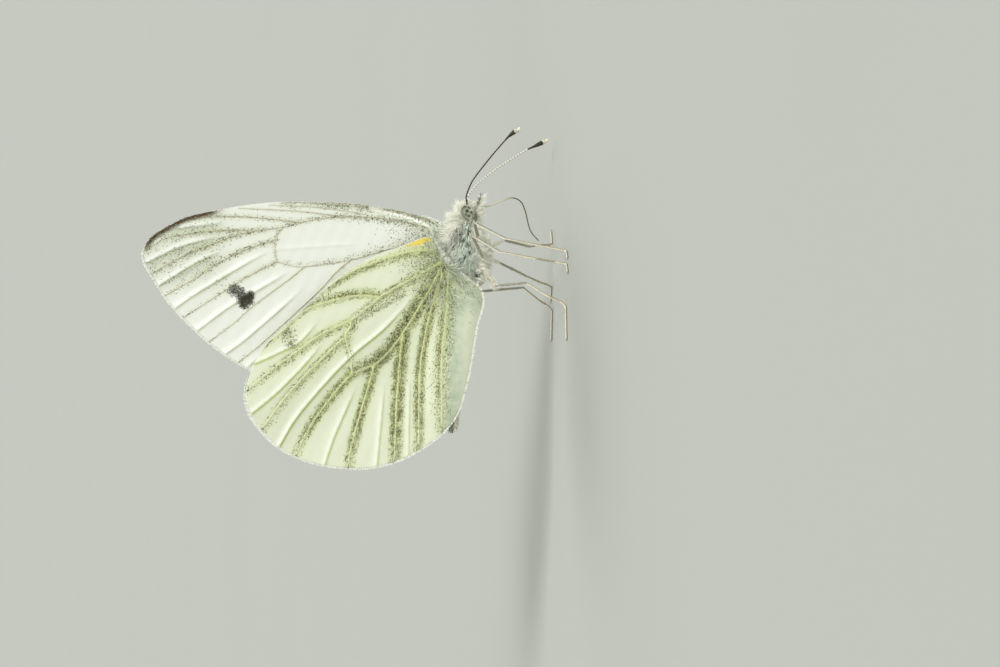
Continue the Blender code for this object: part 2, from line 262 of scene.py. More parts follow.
class Paint(Graph):
    """A material: one Principled shader, and what varies over the surface."""

    def __init__(self, name, **constants):
        self.material = bpy.data.materials.new(name)
        self.material.use_nodes = True
        super().__init__(self.material.node_tree)
        self.shader = self.tree.nodes["Principled BSDF"]
        for socket, value in constants.items():
            self.feed(self.shader.inputs[socket.replace("_", " ")], value)
        self.place = self.node("ShaderNodeTexCoord").outputs["Object"]

    def attribute(self, name):
        return self.number("ShaderNodeAttribute", {"attribute_name": name}, output="Fac")

    def mix(self, under, over, share):
        """One colour over another by a share from 0 to 1."""
        sockets = {0: share, 6: under, 7: over}
        return self.node("ShaderNodeMix", {"data_type": "RGBA"}, sockets).outputs[2]

    def tint(self, under, over, name, strength):
        """A colour laid on where an attribute is high."""
        return self.mix(under, over, (self.attribute(name) * strength).within())

    def noise(self, size, detail=2.0):
        """Soft random light and dark, with patches about as wide as size (mm)."""
        return self.number("ShaderNodeTexNoise", None, {
            "Vector": self.place, "Scale": 1 / (size * MM), "Detail": detail})

    def cells(self, size, output="Distance"):
        """Cells about as wide as size (mm): the distance from their middles."""
        sockets = {"Vector": self.place, "Scale": 1 / (size * MM)}
        return self.number("ShaderNodeTexVoronoi", None, sockets, output)

    def lots(self, size):
        """A random number for each cell about as wide as size (mm)."""
        return self.number("ShaderNodeSeparateColor", None, {0: self.cells(size, "Color")})

    def finish(self, colour, bump=None, height=0.01, roughness=None):
        """Feeds the shader; height is how far the bump stands out (mm)."""
        self.feed(self.shader.inputs["Base Color"], colour)
        if roughness is not None:
            self.feed(self.shader.inputs["Roughness"], roughness)
        if bump is not None:
            made = self.node("ShaderNodeBump", None, {"Distance": height * MM, "Height": bump})
            self.feed(self.shader.inputs["Normal"], made.outputs[0])
        return self.material


class Growth(Graph):
    """A Geometry Nodes tree with named inputs, run once on an object."""

    KINDS = {
        float: "NodeSocketFloat", int: "NodeSocketInt",
        bpy.types.Object: "NodeSocketObject", bpy.types.Material: "NodeSocketMaterial",
    }

    def __init__(self, name, **values):
        super().__init__(bpy.data.node_groups.new(name, "GeometryNodeTree"))
        sockets = self.tree.interface
        sockets.new_socket("Geometry", in_out="INPUT", socket_type="NodeSocketGeometry")
        sockets.new_socket("Geometry", in_out="OUTPUT", socket_type="NodeSocketGeometry")
        self.identifiers = {}
        for key, value in values.items():
            made = sockets.new_socket(
                key.replace("_", " ").capitalize(), in_out="INPUT",
                socket_type=self.KINDS[type(value)])
            self.identifiers[key] = made.identifier
        self.values = values
        self.inputs = self.node("NodeGroupInput")
        self.geometry = self.inputs.outputs[0]

    def input(self, key):
        index = list(self.values).index(key) + 1
        return Number(self, self.inputs.outputs[index])

    def attribute(self, name, kind="FLOAT"):
        return self.number("GeometryNodeInputNamedAttribute", {"data_type": kind}, {"Name": name})

    def random(self, low, high, shift):
        """A random number for each point; shift parts it from the tree's other draws."""
        return self.number("FunctionNodeRandomValue", {"data_type": "FLOAT"}, {
            2: low, 3: high, "Seed": self.input("seed") + shift}, output=1)

    def random_vector(self, shift):
        return self.number("FunctionNodeRandomValue", {"data_type": "FLOAT_VECTOR"}, {
            0: (-1, -1, -1), 1: (1, 1, 1), "Seed": self.input("seed") + shift})

    def sum(self, *vectors):
        return self.number("ShaderNodeVectorMath", {"operation": "ADD"}, dict(enumerate(vectors)))

    def scaled(self, vector, factor):
        sockets = {0: vector, "Scale": factor}
        return self.number("ShaderNodeVectorMath", {"operation": "SCALE"}, sockets)

    def turned(self, axis, toward, rotation=(0, 0, 0), **pivot):
        """A rotation that points an axis towards a vector, after another rotation."""
        sockets = {"Rotation": rotation, "Vector": toward}
        return self.number("FunctionNodeAlignRotationToVector", {"axis": axis, **pivot}, sockets)

    def keep(self, geometry, name, value, kind, domain):
        """Stores a named attribute."""
        return self.number(
            "GeometryNodeStoreNamedAttribute", {"data_type": kind, "domain": domain},
            {"Geometry": geometry, "Name": name, "Value": value})

    def spaced_line(self, spacing):
        """Points an even distance apart along the host's edges."""
        line = self.number("GeometryNodeMeshToCurve", None, {0: self.geometry})
        sockets = {"Curve": line, "Length": spacing}
        return self.number("GeometryNodeResampleCurve", {"mode": "LENGTH"}, sockets)

    def copies(self, points, rotation, scale):
        """A copy of the shape at each point."""
        shape = self.number(
            "GeometryNodeObjectInfo", None, {"Object": self.input("shape")}, "Geometry")
        return self.number("GeometryNodeInstanceOnPoints", None, {
            "Points": points, "Instance": shape, "Rotation": rotation, "Scale": scale})

    def stretch(self, *parts):
        return self.number("ShaderNodeCombineXYZ", None, dict(enumerate(parts)))

    def realised(self, geometry):
        return self.number("GeometryNodeRealizeInstances", None, {0: geometry})

    def apply(self, host, name, geometry):
        """Runs the tree on a host object and returns its result as a plain mesh object."""
        painted = self.number("GeometryNodeSetMaterial", None, {
            "Geometry": geometry, "Material": self.input("material")})
        self.node("NodeGroupOutput", None, {0: painted})
        modifier = host.modifiers.new(self.tree.name, "NODES")
        modifier.node_group = self.tree
        for key, value in self.values.items():
            modifier[self.identifiers[key]] = value
        bpy.context.view_layer.update()
        evaluated = host.evaluated_get(bpy.context.evaluated_depsgraph_get())
        mesh = bpy.data.meshes.new_from_object(evaluated)
        host.modifiers.remove(modifier)
        if not len(mesh.polygons):
            raise RuntimeError(f"{name}: the node tree made nothing")
        return add_object(name, mesh)


# ---------------- shared shapes

def in_frame(points):
    """Points in millimetres of the body's own frame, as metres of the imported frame."""
    return np.asarray(points, float) * MM + np.array(ORIGIN)


def add_object(name, mesh):
    made = bpy.data.objects.new(name, mesh)
    bpy.context.scene.collection.objects.link(made)
    return made


def add_mesh(name, points, faces, edges=()):
    """A mesh object from points (mm) and faces."""
    mesh = bpy.data.meshes.new(name)
    mesh.from_pydata(in_frame(points).tolist(), list(edges), [list(f) for f in faces])
    return add_object(name, mesh)


def set_attributes(mesh, **fields):
    """Stores numbers or vectors on a mesh's points."""
    for name, values in fields.items():
        values = np.asarray(values, float)
        kind, slot = ("FLOAT_VECTOR", "vector") if values.ndim == 2 else ("FLOAT", "value")
        layer = mesh.attributes.new(name, kind, "POINT")
        layer.data.foreach_set(slot, values.astype(np.float32).ravel())


def set_unwrap(mesh, name, places):
    """A UV map from one place for each corner."""
    layer = mesh.uv_layers.new(name=name)
    layer.uv.foreach_set("vector", np.asarray(places, np.float32).ravel())


def corner_points(mesh):
    """The point that each face corner stands on."""
    found = np.zeros(len(mesh.loops), int)
    mesh.loops.foreach_get("vertex_index", found)
    return found


def finish_piece(piece, slot, *nodes, paint=None):
    """Ties a finished piece to the body, its finish and the solids it stands for."""
    if paint:
        piece.data.materials.append(paint)
    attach(piece, BODY)
    if nodes:
        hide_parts(*nodes)


def smooth_route(points, step):
    """Points every step along a smooth curve through the points given."""
    points = np.asarray(points, float)
    padded = np.vstack([2 * points[0] - points[1], points, 2 * points[-1] - points[-2]])
    dense = []
    for before, start, end, after in zip(padded, padded[1:], padded[2:], padded[3:]):
        pull_in, pull_out = (end - before) / 2, (after - start) / 2
        for share in np.linspace(0, 1, 16, endpoint=False):
            square, cube = share ** 2, share ** 3
            dense.append(
                (2 * cube - 3 * square + 1) * start + (cube - 2 * square + share) * pull_in
                + (3 * square - 2 * cube) * end + (cube - square) * pull_out)
    dense.append(points[-1])
    return even_steps(np.array(dense), step)


def even_steps(route, step, closed=False):
    """The same route with its points about a step apart."""
    if closed:
        route = np.vstack([route, route[:1]])
    travelled = np.concatenate([
        [0], np.cumsum(np.linalg.norm(np.diff(route, axis=0), axis=1))])
    count = max(2, round(travelled[-1] / step) + 1)
    at = np.linspace(0, travelled[-1], count)
    placed = np.stack([np.interp(at, travelled, part) for part in route.T], axis=1)
    return placed[:-1] if closed else placed


def ease(value, start=0.0, width=1.0):
    """A soft step from 0 at start to 1 a width further on; a width below 0 runs back."""
    share = np.clip((value - start) / width, 0, 1)
    return share * share * (3 - 2 * share)


def unit(vectors):
    """The same directions with a length of one."""
    return vectors / np.linalg.norm(vectors, axis=-1, keepdims=True)


def around(count):
    """The steps round a ring, each with the one after it."""
    return [(step, (step + 1) % count) for step in range(count)]


def discard(*objects):
    for used in objects:
        bpy.data.objects.remove(used)


def bell(distance, width):
    return np.exp(-(distance / width) ** 2)


# ---------------- wings

class Vein(NamedTuple):
    """A vein and the dark dust beside it."""
    front: float              # width of the dust on its front side, and on its rear side
    rear: float
    dust: float               # share of the scales that are dark where densest
    fade: float               # share of its length over which the dust thins out
    route: tuple              # x, z from the root out


class Pleat(NamedTuple):
    """A fold between two veins."""
    height: float             # share of the setting's fold height
    # The yellow-green on a pleat's shaded side is painted shade.
    warmth: float             # strength of the yellow-green on its shaded side
    route: tuple              # x, z from the root out


PLEAT_RISE, PLEAT_DROP = 0.5, 0.14      # width of a pleat's long and steep sides
HINGE = (3.6, 8.5)            # x, z of the wings' roots
HIND_WHORL = (2.35, 8.7)      # x, z that the hairs at a hindwing's root lie away from
FORE_WHORL = (7.0, 11.2)      # the same for a forewing
LEFT_WING_SIZE = 0.994        # against the right pair, so that it stays hidden behind it
FORE_WING_Y = 0.4             # from the mid plane to a forewing's middle
WING_PITCH = 0.8              # from a forewing's middle to the hindwing's outside it
ROOT_FLARE, ROOT_FLARE_REACH = 0.45, 4.0        # how far the wings part at their roots
BELLY_BOW_REACH, BELLY_BOW_END, BELLY_CLEARANCE = 1.9, 1.05, 0.55   # hindwings bow round it
CLOSING, CLOSING_START, CLOSING_REACH = 0.65, 0.8, 5.5      # hindwings close behind forewings
FORE_INNER_ROOT, FORE_TORNUS = np.array((3.75, 8.8)), np.array((-5.65, 22.15))
BELLY = (                     # x, z, radius of the abdomen's solids
    (-9.65, 8.1, 0.3), (-8.0, 7.95, 0.85), (-5.6, 7.65, 1.05), (-2.3, 7.35, 1.1),
    (1.2, 6.85, 0.9),
)

FORE_VEINS = {
    "costa": Vein(0, 0.5, 0.75, 0.9, ((5.6, 8.9), (6.35, 11.7), (6.85, 14.5), (7.05, 17.9),
        (6.95, 20.3))),
    "subcosta": Vein(0, 0.15, 0.3, 1.0, ((5.0, 8.8), (5.6, 9.6), (6.15, 11.6), (6.6, 14.2),
        (6.85, 17.0), (6.98, 19.1))),
    "radius": Vein(0.25, 0.16, 0.55, 1.0, ((4.7, 8.8), (5.3, 10.3), (5.75, 12.5), (5.95, 15.2),
        (5.75, 17.9), (5.15, 20.5), (4.85, 22.75))),
    "radius_1": Vein(0, 0, 0, 1.0, ((6.2, 14.7), (6.6, 17.6), (6.78, 21.3))),
    "radius_2": Vein(0, 0.15, 0.15, 1.0, ((6.0, 16.3), (6.35, 19.3), (6.55, 23.5))),
    "radius_3": Vein(0.2, 0.2, 0.3, 1.0, ((5.55, 19.2), (5.9, 22.75), (5.9, 25.7), (5.55, 28.0))),
    "radius_4": Vein(0.15, 0.3, 0.5, 1.0, ((4.85, 22.75), (4.95, 23.5), (4.85, 25.7), (4.4, 28.6),
        (3.5, 30.2))),
    "media_1": Vein(0.25, 0.3, 0.6, 1.0, ((5.0, 21.65), (4.65, 23.5), (3.55, 26.4), (2.5, 28.6),
        (1.7, 29.9))),
    "discal": Vein(0.15, 0.12, 0.35, 1.0, ((5.1, 20.4), (4.6, 20.72), (3.9, 20.88), (3.2, 20.85),
        (2.65, 20.75))),
    "media_2": Vein(0.25, 0.25, 0.5, 1.0, ((4.25, 20.85), (3.5, 23.1), (2.4, 25.3), (1.4, 26.8),
        (0.1, 29.0))),
    "media_3": Vein(0.2, 0.2, 0.4, 1.0, ((2.65, 20.75), (1.65, 22.75), (0.5, 24.6), (-0.65, 26.4),
        (-1.55, 27.75))),
    "cubitus_1": Vein(0, 0.15, 0.28, 1.0, ((2.3, 18.75), (1.4, 19.85), (-0.5, 22.4), (-1.8, 23.9),
        (-3.3, 25.85))),
    "cubitus_2": Vein(0, 0.12, 0.3, 1.0, ((2.8, 15.4), (1.8, 16.55), (0.45, 17.8), (-3.1, 21.65),
        (-4.7, 23.6))),
    "cubitus": Vein(0.35, 0.05, 0.35, 1.0, ((4.3, 8.6), (3.6, 12.5), (2.8, 15.4), (2.3, 18.9),
        (2.65, 20.75))),
    "anal": Vein(0, 0.1, 0.2, 1.0, ((4.0, 8.8), (1.6, 13.6), (-2.0, 18.2), (-5.5, 22.2))),
}
FORE_PLEATS = {
    "below_radius_3": Pleat(0.7, 0.2, ((5.55, 24.2), (5.35, 26.0), (5.0, 28.9))),
    "below_radius_4": Pleat(1.0, 0.5, ((4.5, 24.8), (4.1, 26.7), (3.5, 28.4), (2.65, 30.1))),
    "below_media_1": Pleat(1.0, 0.6, ((3.55, 24.6), (2.5, 26.8), (0.9, 29.4))),
    "below_media_2": Pleat(1.0, 0.9, ((3.6, 20.9), (2.65, 22.8), (0.5, 26.4), (-0.75, 28.2))),
    "below_media_3": Pleat(1.0, 0.8, ((2.3, 19.3), (1.1, 21.3), (-0.6, 24.2), (-2.45, 26.7))),
    "below_cubitus_1": Pleat(1.0, 0.7, ((0.9, 18.7), (-0.5, 20.2), (-3.0, 23.1), (-4.15, 24.7))),
    "in_cell": Pleat(0.25, 0.1, ((4.0, 14.2), (3.8, 17.5), (3.55, 20.9))),
    "below_cubitus_2": Pleat(0.6, 0.5, ((1.7, 14.9), (-1.0, 18.2), (-4.9, 22.8))),
}
HIND_VEINS = {
    "subcosta": Vein(0.12, 0.42, 0.6, 0.8, ((3.5, 9.5), (3.4, 11.0), (2.95, 12.7), (2.1, 15.0),
        (1.25, 16.5), (0.2, 18.0), (-2.0, 20.2))),
    "radial": Vein(0.5, 0.2, 0.5, 0.85, ((0.1, 13.4), (0.2, 14.7), (-0.05, 16.2), (-0.85, 18.7),
        (-2.2, 20.2), (-3.8, 22.0))),
    "cell_front": Vein(0.25, 0.45, 0.55, 1.0, ((2.65, 8.8), (1.8, 10.3), (1.0, 11.75),
        (0.15, 13.2), (-1.6, 15.4))),
    "media_1": Vein(0.22, 0.4, 0.42, 0.9, ((-1.6, 15.4), (-2.65, 17.6), (-4.2, 19.8), (-5.3, 21.3),
        (-6.75, 23.0))),
    "discal": Vein(0.25, 0.2, 0.4, 1.0, ((-1.6, 15.4), (-2.1, 15.45), (-2.8, 15.8), (-4.2, 15.4),
        (-5.45, 15.3))),
    "media_2": Vein(0.25, 0.45, 0.38, 0.8, ((-2.8, 15.8), (-3.8, 16.9), (-6.0, 19.1),
        (-7.7, 20.55), (-9.6, 21.9))),
    "cubitus": Vein(0.65, 0.45, 0.95, 1.0, ((2.2, 8.9), (0.6, 9.7), (-1.9, 11.2), (-3.25, 12.1),
        (-4.65, 13.45), (-5.45, 15.3))),
    "media_3": Vein(0.38, 0.34, 0.7, 0.85, ((-5.45, 15.3), (-6.8, 16.5), (-8.8, 18.0),
        (-10.1, 18.75), (-11.5, 19.4))),
    "cubitus_1": Vein(0.32, 0.4, 0.75, 0.95, ((-4.75, 13.65), (-6.3, 14.05), (-8.5, 14.7),
        (-10.7, 15.3), (-12.4, 15.6))),
    "cubitus_2": Vein(0.42, 0.5, 0.85, 1.0, ((-2.7, 11.6), (-4.1, 11.75), (-7.4, 12.0),
        (-9.6, 12.1), (-12.1, 12.2))),
    "anal_1": Vein(0.36, 0.34, 0.85, 1.0, ((1.9, 8.7), (-0.8, 9.55), (-3.75, 10.15), (-6.0, 10.35),
        (-8.1, 10.4), (-11.2, 10.4))),
    "anal_2": Vein(0.5, 0.16, 0.62, 0.9, ((1.9, 8.3), (-1.6, 8.5), (-3.8, 8.75), (-6.5, 8.8),
        (-9.7, 8.7))),
}
HIND_PLEATS = {
    "below_radial": Pleat(0.7, 0.9, ((-1.4, 17.6), (-3.1, 19.1), (-3.8, 20.4), (-4.8, 22.6))),
    "below_media_1": Pleat(0.8, 1.0, ((-2.9, 17.2), (-5.0, 19.0), (-6.9, 20.9), (-8.3, 22.6))),
    "through_cell": Pleat(1.1, 1.0, ((1.2, 10.0), (-1.9, 12.7), (-4.1, 15.3), (-6.4, 17.5),
        (-8.7, 19.4), (-10.7, 20.6))),
    "below_media_3": Pleat(0.7, 0.7, ((-6.2, 14.9), (-8.2, 15.8), (-10.3, 16.7), (-12.1, 17.3))),
    "below_cubitus_1": Pleat(0.6, 0.4, ((-6.0, 12.9), (-8.0, 13.1), (-12.2, 13.5))),
    "below_cubitus_2": Pleat(0.4, 0.3, ((-5.0, 11.05), (-8.0, 11.15), (-11.7, 11.2))),
}
CELL_STREAK = ((0.3, 11.6), (-0.8, 13.4), (-1.9, 15.3))
ANAL_STREAK = ((0.2, 8.3), (-3.2, 8.6), (-5.7, 8.9), (-8.2, 8.8))
SHOULDER = 0.22               # how far a hindwing's front edge swells near its root
SHOULDER_X, SHOULDER_Z = 3.2, 10.1      # where the swelling starts and where it is largest
VEIN_TAPER = 0.55             # share of its width that a vein loses by its end
RIPPLE = 0.012                # height of a wing's fine waves
WING_CREASE, FACET_CREASE = radians(55), radians(25)      # edges bent further stay sharp
COSTAL_BAND = ((6.6, 13.9), (6.2, 12.4), (5.87, 11.07), (5.03, 9.37))
FORE_SPOT = (                 # x, z, radius, darkness of the dusty discs in a forewing's spot
    (0.6, 23.8, 0.34, 0.6), (0.4, 23.4, 0.3, 0.65), (-0.05, 23.1, 0.36, 1.0),
    (0.2, 22.65, 0.24, 1.0), (-0.4, 23.1, 0.26, 0.95), (-0.1, 22.85, 0.3, 1.0),
)
UPPER_SPOTS = ((0.2, 23.4, 0.85, 1.0), (-3.3, 19.9, 0.75, 0.8))
HIND_UPPER_SPOT = ((-0.6, 18.4, 0.6, 0.8),)


def belly_at(x):
    """Height and radius of the abdomen at x."""
    xs, zs, radii = zip(*BELLY)
    x = np.minimum(x, BELLY_BOW_END)
    return np.interp(x, xs, zs), np.interp(x, xs, radii)


def fore_surface(x, z):
    """How far a forewing's middle lies out from the body's mid plane."""
    reach = np.hypot(x - HINGE[0], z - HINGE[1])
    return FORE_WING_Y + ROOT_FLARE * bell(reach, ROOT_FLARE_REACH)


def hind_surface(x, z):
    """The same for a hindwing, which lies outside the forewing and closes in behind it."""
    run = unit(FORE_TORNUS - FORE_INNER_ROOT)
    behind = (z - FORE_INNER_ROOT[1]) * run[0] - (x - FORE_INNER_ROOT[0]) * run[1]
    closing = CLOSING * ease((behind - CLOSING_START) / CLOSING_REACH)
    plain = fore_surface(x, z) + WING_PITCH - closing
    middle, radius = belly_at(x)
    bow = np.maximum(radius * 0.95 + BELLY_CLEARANCE - plain, 0)
    return plain + bow * bell(z - middle, BELLY_BOW_REACH)


def cad_outline(node, side):
    """The outline in x, z (mm) of a wing's solid, walked round its outer face."""
    solid = bmesh.new()
    solid.from_mesh(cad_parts[node].data)
    bmesh.ops.remove_doubles(solid, verts=solid.verts, dist=MM / 1000)
    following = {}
    for edge in solid.edges:
        outward = sorted(face.normal.y * side for face in edge.link_faces)
        if len(outward) == 2 and outward[0] < 0.5 < outward[1]:
            for point, other in (edge.verts, reversed(edge.verts)):
                following.setdefault(point, []).append(other)
    start = next(iter(following))
    walk, previous, point = [start], start, following[start][0]
    while point != start:
        walk.append(point)
        onward = [other for other in following[point] if other != previous]
        previous, point = point, onward[0]
    outline = np.array([(point.co - ORIGIN) / MM for point in walk])[:, [0, 2]]
    solid.free()
    return outline


def inset(outline, distance):
    """A closed outline moved inwards."""
    run = unit(np.roll(outline, -1, axis=0) - np.roll(outline, 1, axis=0))
    inward = np.stack([-run[:, 1], run[:, 0]], axis=1)
    ahead = np.roll(outline, -1, axis=0)
    area = np.sum(outline[:, 0] * ahead[:, 1] - ahead[:, 0] * outline[:, 1])
    return outline + inward * distance * np.sign(area)


def along_route(points, route):
    """For each point: its distance from a route, positive behind it, and its share along it."""
    runs = np.diff(route, axis=0)
    lengths = np.linalg.norm(runs, axis=1)
    travelled = np.concatenate([[0], np.cumsum(lengths)])
    nearest = np.full(len(points), np.inf)
    signed, share = np.zeros(len(points)), np.zeros(len(points))
    for start, run, reach, before in zip(route, runs, lengths, travelled):
        offset = points - start
        part = np.clip(offset @ run / reach ** 2, 0, 1)
        gap = offset - part[:, None] * run
        distance = np.linalg.norm(gap, axis=1)
        nearer = distance < nearest
        rear = np.where(gap[:, 1] * run[0] - gap[:, 0] * run[1] >= 0, 1.0, -1.0)
        nearest[nearer] = distance[nearer]
        signed[nearer] = (distance * rear)[nearer]
        share[nearer] = ((before + part * reach) / travelled[-1])[nearer]
    return signed, share


def inside(points, outline):
    """Which points lie inside a closed outline."""
    found = np.zeros(len(points), bool)
    for start, end in zip(outline, np.roll(outline, -1, axis=0)):
        if start[1] == end[1]:
            continue
        spans = (start[1] > points[:, 1]) != (end[1] > points[:, 1])
        crossing = start[0] + (points[:, 1] - start[1]) / (end[1] - start[1]) * (end[0] - start[0])
        found ^= spans & (points[:, 0] < crossing)
    return found


class WingPlan:
    """A flat net of a wing in x, z: its points, triangles and the markings on them."""

    def __init__(self, kind, veins, pleats, surface, settings):
        self.kind, self.surface = kind, surface
        self.veins, self.pleats = veins, pleats
        for key in ("cell", "thickness", "vein_height", "vein_width", "fold_height"):
            setattr(self, key, getattr(settings, key) / MM)
        outline = cad_outline(kind + "_right", SIDES["right"])
        if kind == "hindwing":
            x, z = outline.T
            outline[:, 0] += SHOULDER * bell(z - SHOULDER_Z, 0.8) * ease(x, SHOULDER_X, 0.6)
        self.outline = even_steps(outline, self.cell, closed=True)
        self.rim = inset(self.outline, settings.fringe / MM)
        self.vein_routes, self.pleat_routes = (
            {name: smooth_route(line.route, self.cell) for name, line in lines.items()}
            for lines in (veins, pleats))
        self.fill()
        self.measure()

    def half_width(self, share):
        """Half a vein's width, which narrows to its end."""
        return self.vein_width * (1 - VEIN_TAPER * share)

    def fill(self):
        """Triangles between the rim, the crests and feet of the veins, and a loose grid."""
        points, edges = [self.rim], []
        lines = list(self.vein_routes.values()) + list(self.pleat_routes.values())
        count = len(self.rim)
        for number, route in enumerate(lines):
            edges += [(count + i, count + i + 1) for i in range(len(route) - 1)]
            points.append(route)
            count += len(route)
            across = np.gradient(route, axis=0)
            across = unit(np.stack([-across[:, 1], across[:, 0]], axis=1))
            if number < len(self.vein_routes):
                width = self.half_width(np.linspace(0, 1, len(route)))[:, None]
                feet = (route + across * width, route - across * width)
            else:
                feet = (route + across * PLEAT_DROP / 2, route + across * PLEAT_DROP)
            for foot in feet:
                foot = foot[inside(foot, inset(self.rim, self.cell / 2))]
                points.append(foot)
                count += len(foot)
        points.append(self.loose_grid(lines))
        flat = [Vector(point) for point in np.vstack(points)]
        rim = list(range(len(self.rim)))
        filled = delaunay_2d_cdt(flat, edges, [rim], 1, self.cell / 50)
        self.points = np.array(filled[0])
        self.faces = np.array([face for face in filled[2] if len(face) == 3])
        corner = self.points[self.faces]
        first, second = corner[:, 1] - corner[:, 0], corner[:, 2] - corner[:, 0]
        turn = first[:, 0] * second[:, 1] - first[:, 1] * second[:, 0]
        self.faces[turn < 0] = self.faces[turn < 0][:, ::-1]

    def loose_grid(self, lines):
        """Grid points, a little out of line, that keep clear of the rim and the routes."""
        low, high = self.rim.min(axis=0), self.rim.max(axis=0)
        rows = np.arange(low[1], high[1], self.cell * sqrt(3) / 2)
        columns = np.arange(low[0], high[0], self.cell)
        x, z = np.meshgrid(columns, rows)
        x = x + (np.arange(len(rows)) % 2)[:, None] * self.cell / 2
        points = np.stack([x.ravel(), z.ravel()], axis=1)
        shift = np.random.default_rng(SEED).uniform(-0.12, 0.12, points.shape)
        points += shift * self.cell
        points = points[inside(points, inset(self.rim, self.cell / 2))]
        for number, route in enumerate(lines):
            distance, share = along_route(points, route)
            if number < len(self.vein_routes):
                clear = np.abs(distance) > 0.5 * self.cell + self.half_width(share)
            else:
                clear = np.abs(distance - PLEAT_DROP / 2) > 0.5 * (self.cell + PLEAT_DROP)
            points = points[clear]
        return points

    def measure(self):
        """Fields over the points: how near each vein and pleat lies, and on which side."""
        count = len(self.points)
        names = ("crest", "bump", "dust", "warm", "lit", "fold", "hollow", "bare")
        for name in names:
            setattr(self, name, np.zeros(count))

        def mark(name, values):
            setattr(self, name, np.maximum(getattr(self, name), values))

        for name, vein in self.veins.items():
            distance, share = along_route(self.points, self.vein_routes[name])
            width = self.half_width(share)
            away = np.abs(distance) / width
            mark("crest", np.clip(1.3 - away, 0, 1))
            mark("bare", np.clip(1.9 - away, 0, 1))
            mark("bump", np.sqrt(np.clip(1 - away ** 2, 0, 1)) * (1 - 0.5 * share))
            reach = np.where(distance > 0, vein.rear, vein.front)
            beside = np.clip(1.4 - np.abs(distance) / np.maximum(reach, 0.01), 0, 1) ** 1.3
            strength = vein.dust * (1 - ease((share - vein.fade + 0.35) / 0.5) * 0.75)
            mark("dust", beside * strength * (reach > 0))
            warmth = bell(distance, 0.2 + 0.7 * reach) * (vein.dust > 0) * (0.3 + 0.7 * vein.dust)
            mark("warm", warmth * (1 - 0.6 * share))
        for name, pleat in self.pleats.items():
            distance, share = along_route(self.points, self.pleat_routes[name])
            start = ease(share / 0.35)
            rising = np.clip(1 + distance / PLEAT_RISE, 0, 1) ** 1.5
            falling = np.clip(1 - distance / PLEAT_DROP, 0, 1)
            profile = np.where(distance < 0, rising, falling)
            mark("fold", profile * start * pleat.height)
            # Painted highlight on the lit side of each fold, a painted yellow-green shade line just
            # behind it, and painted shade in the hollow behind that.
            lit = np.where(distance < 0.02, bell(distance + 0.1, 0.17), 0)
            mark("lit", lit * start * min(pleat.height, 1))
            behind = np.where(distance > 0, 1, 0) * start
            line = behind * bell(distance - 0.5 * PLEAT_DROP, 0.75 * PLEAT_DROP)
            mark("warm", line * pleat.warmth)
            mark("hollow", behind * bell(distance, 0.45) * min(pleat.height, 1))
        mottle = [noise.noise(Vector((x, z, 0)) * 1.6) for x, z in self.points]
        self.dust = self.dust * (1 + 0.9 * np.array(mottle))
        rim, _ = along_route(self.points, np.vstack([self.outline, self.outline[:1]]))
        self.margin = np.abs(rim)
        self.taper = 0.3 + 0.7 * ease((self.margin - self.margin.min()) / 0.3)

    def near(self, route):
        """Each point's distance from a route given by a few places, and its share along it."""
        return along_route(self.points, smooth_route(route, self.cell))

    def rim_edges(self):
        """The edges round the net, each in the order of its triangle."""
        seen = {}
        for a, b, c in self.faces.tolist():
            for edge in ((a, b), (b, c), (c, a)):
                seen[edge] = True
        return [edge for edge in seen if edge[::-1] not in seen]

    def place(self, side, face):
        """The net's points on a wing's outer (face 1) or inner (face -1) surface."""
        x, z = self.points.T
        middle = self.surface(x, z) + self.fold * self.fold_height
        ripple = RIPPLE * np.sin(x * 5.1 + z * 1.7) * np.sin(z * 4.3 - x * 2.2)
        skin = self.thickness / 2 * self.taper + self.bump * self.vein_height
        if side > 0:
            x, z = [hinge + (at - hinge) * LEFT_WING_SIZE for at, hinge in zip((x, z), HINGE)]
        return np.stack([x, side * (middle + ripple + face * skin), z], axis=1)

    def build(self, side_name, outer, inner):
        """One wing: outer and inner surfaces with their markings, closed round the rim."""
        side = SIDES[side_name]
        count = len(self.points)
        points = np.vstack([self.place(side, 1), self.place(side, -1)])
        faces = np.vstack([self.faces, self.faces[:, ::-1] + count])
        rim = [(b, a, a + count, b + count) for a, b in self.rim_edges()]
        faces = [list(face) for face in faces.tolist() + rim]
        # x, z are the points' own axes, so a triangle that turns left in them faces -y
        if side > 0:
            faces = [face[::-1] for face in faces]
        wing = add_mesh(f"{self.kind}_{side_name}_membrane", points, faces)
        fields = {
            name: np.concatenate([outer[name], inner[name]]) for name in outer}
        set_attributes(wing.data, **fields)
        wing.data.shade_smooth()
        wing.data.set_sharp_from_angle(angle=WING_CREASE)
        return wing


def spots(points, marks):
    """Round dusty marks, from their x, z, radius and darkness."""
    field = np.zeros(len(points))
    for x, z, radius, darkness in marks:
        reach = np.hypot(points[:, 0] - x, points[:, 1] - z) / radius
        field = np.maximum(field, darkness * np.clip(1.75 - reach, 0, 1))
    return field


def patch(x, z, centre, radius):
    """A soft round patch."""
    return bell(np.hypot(x - centre[0], z - centre[1]), radius)


def markings(plan, **fields):
    """The fields of one face of a wing; edge and yellow left out are plain, and hollow left out is a
    weak painted shade behind the folds.
    """
    plain = plan.crest * 0
    return {"edge": plain, "yellow": plain, "hollow": plan.hollow * 0.3, **fields}


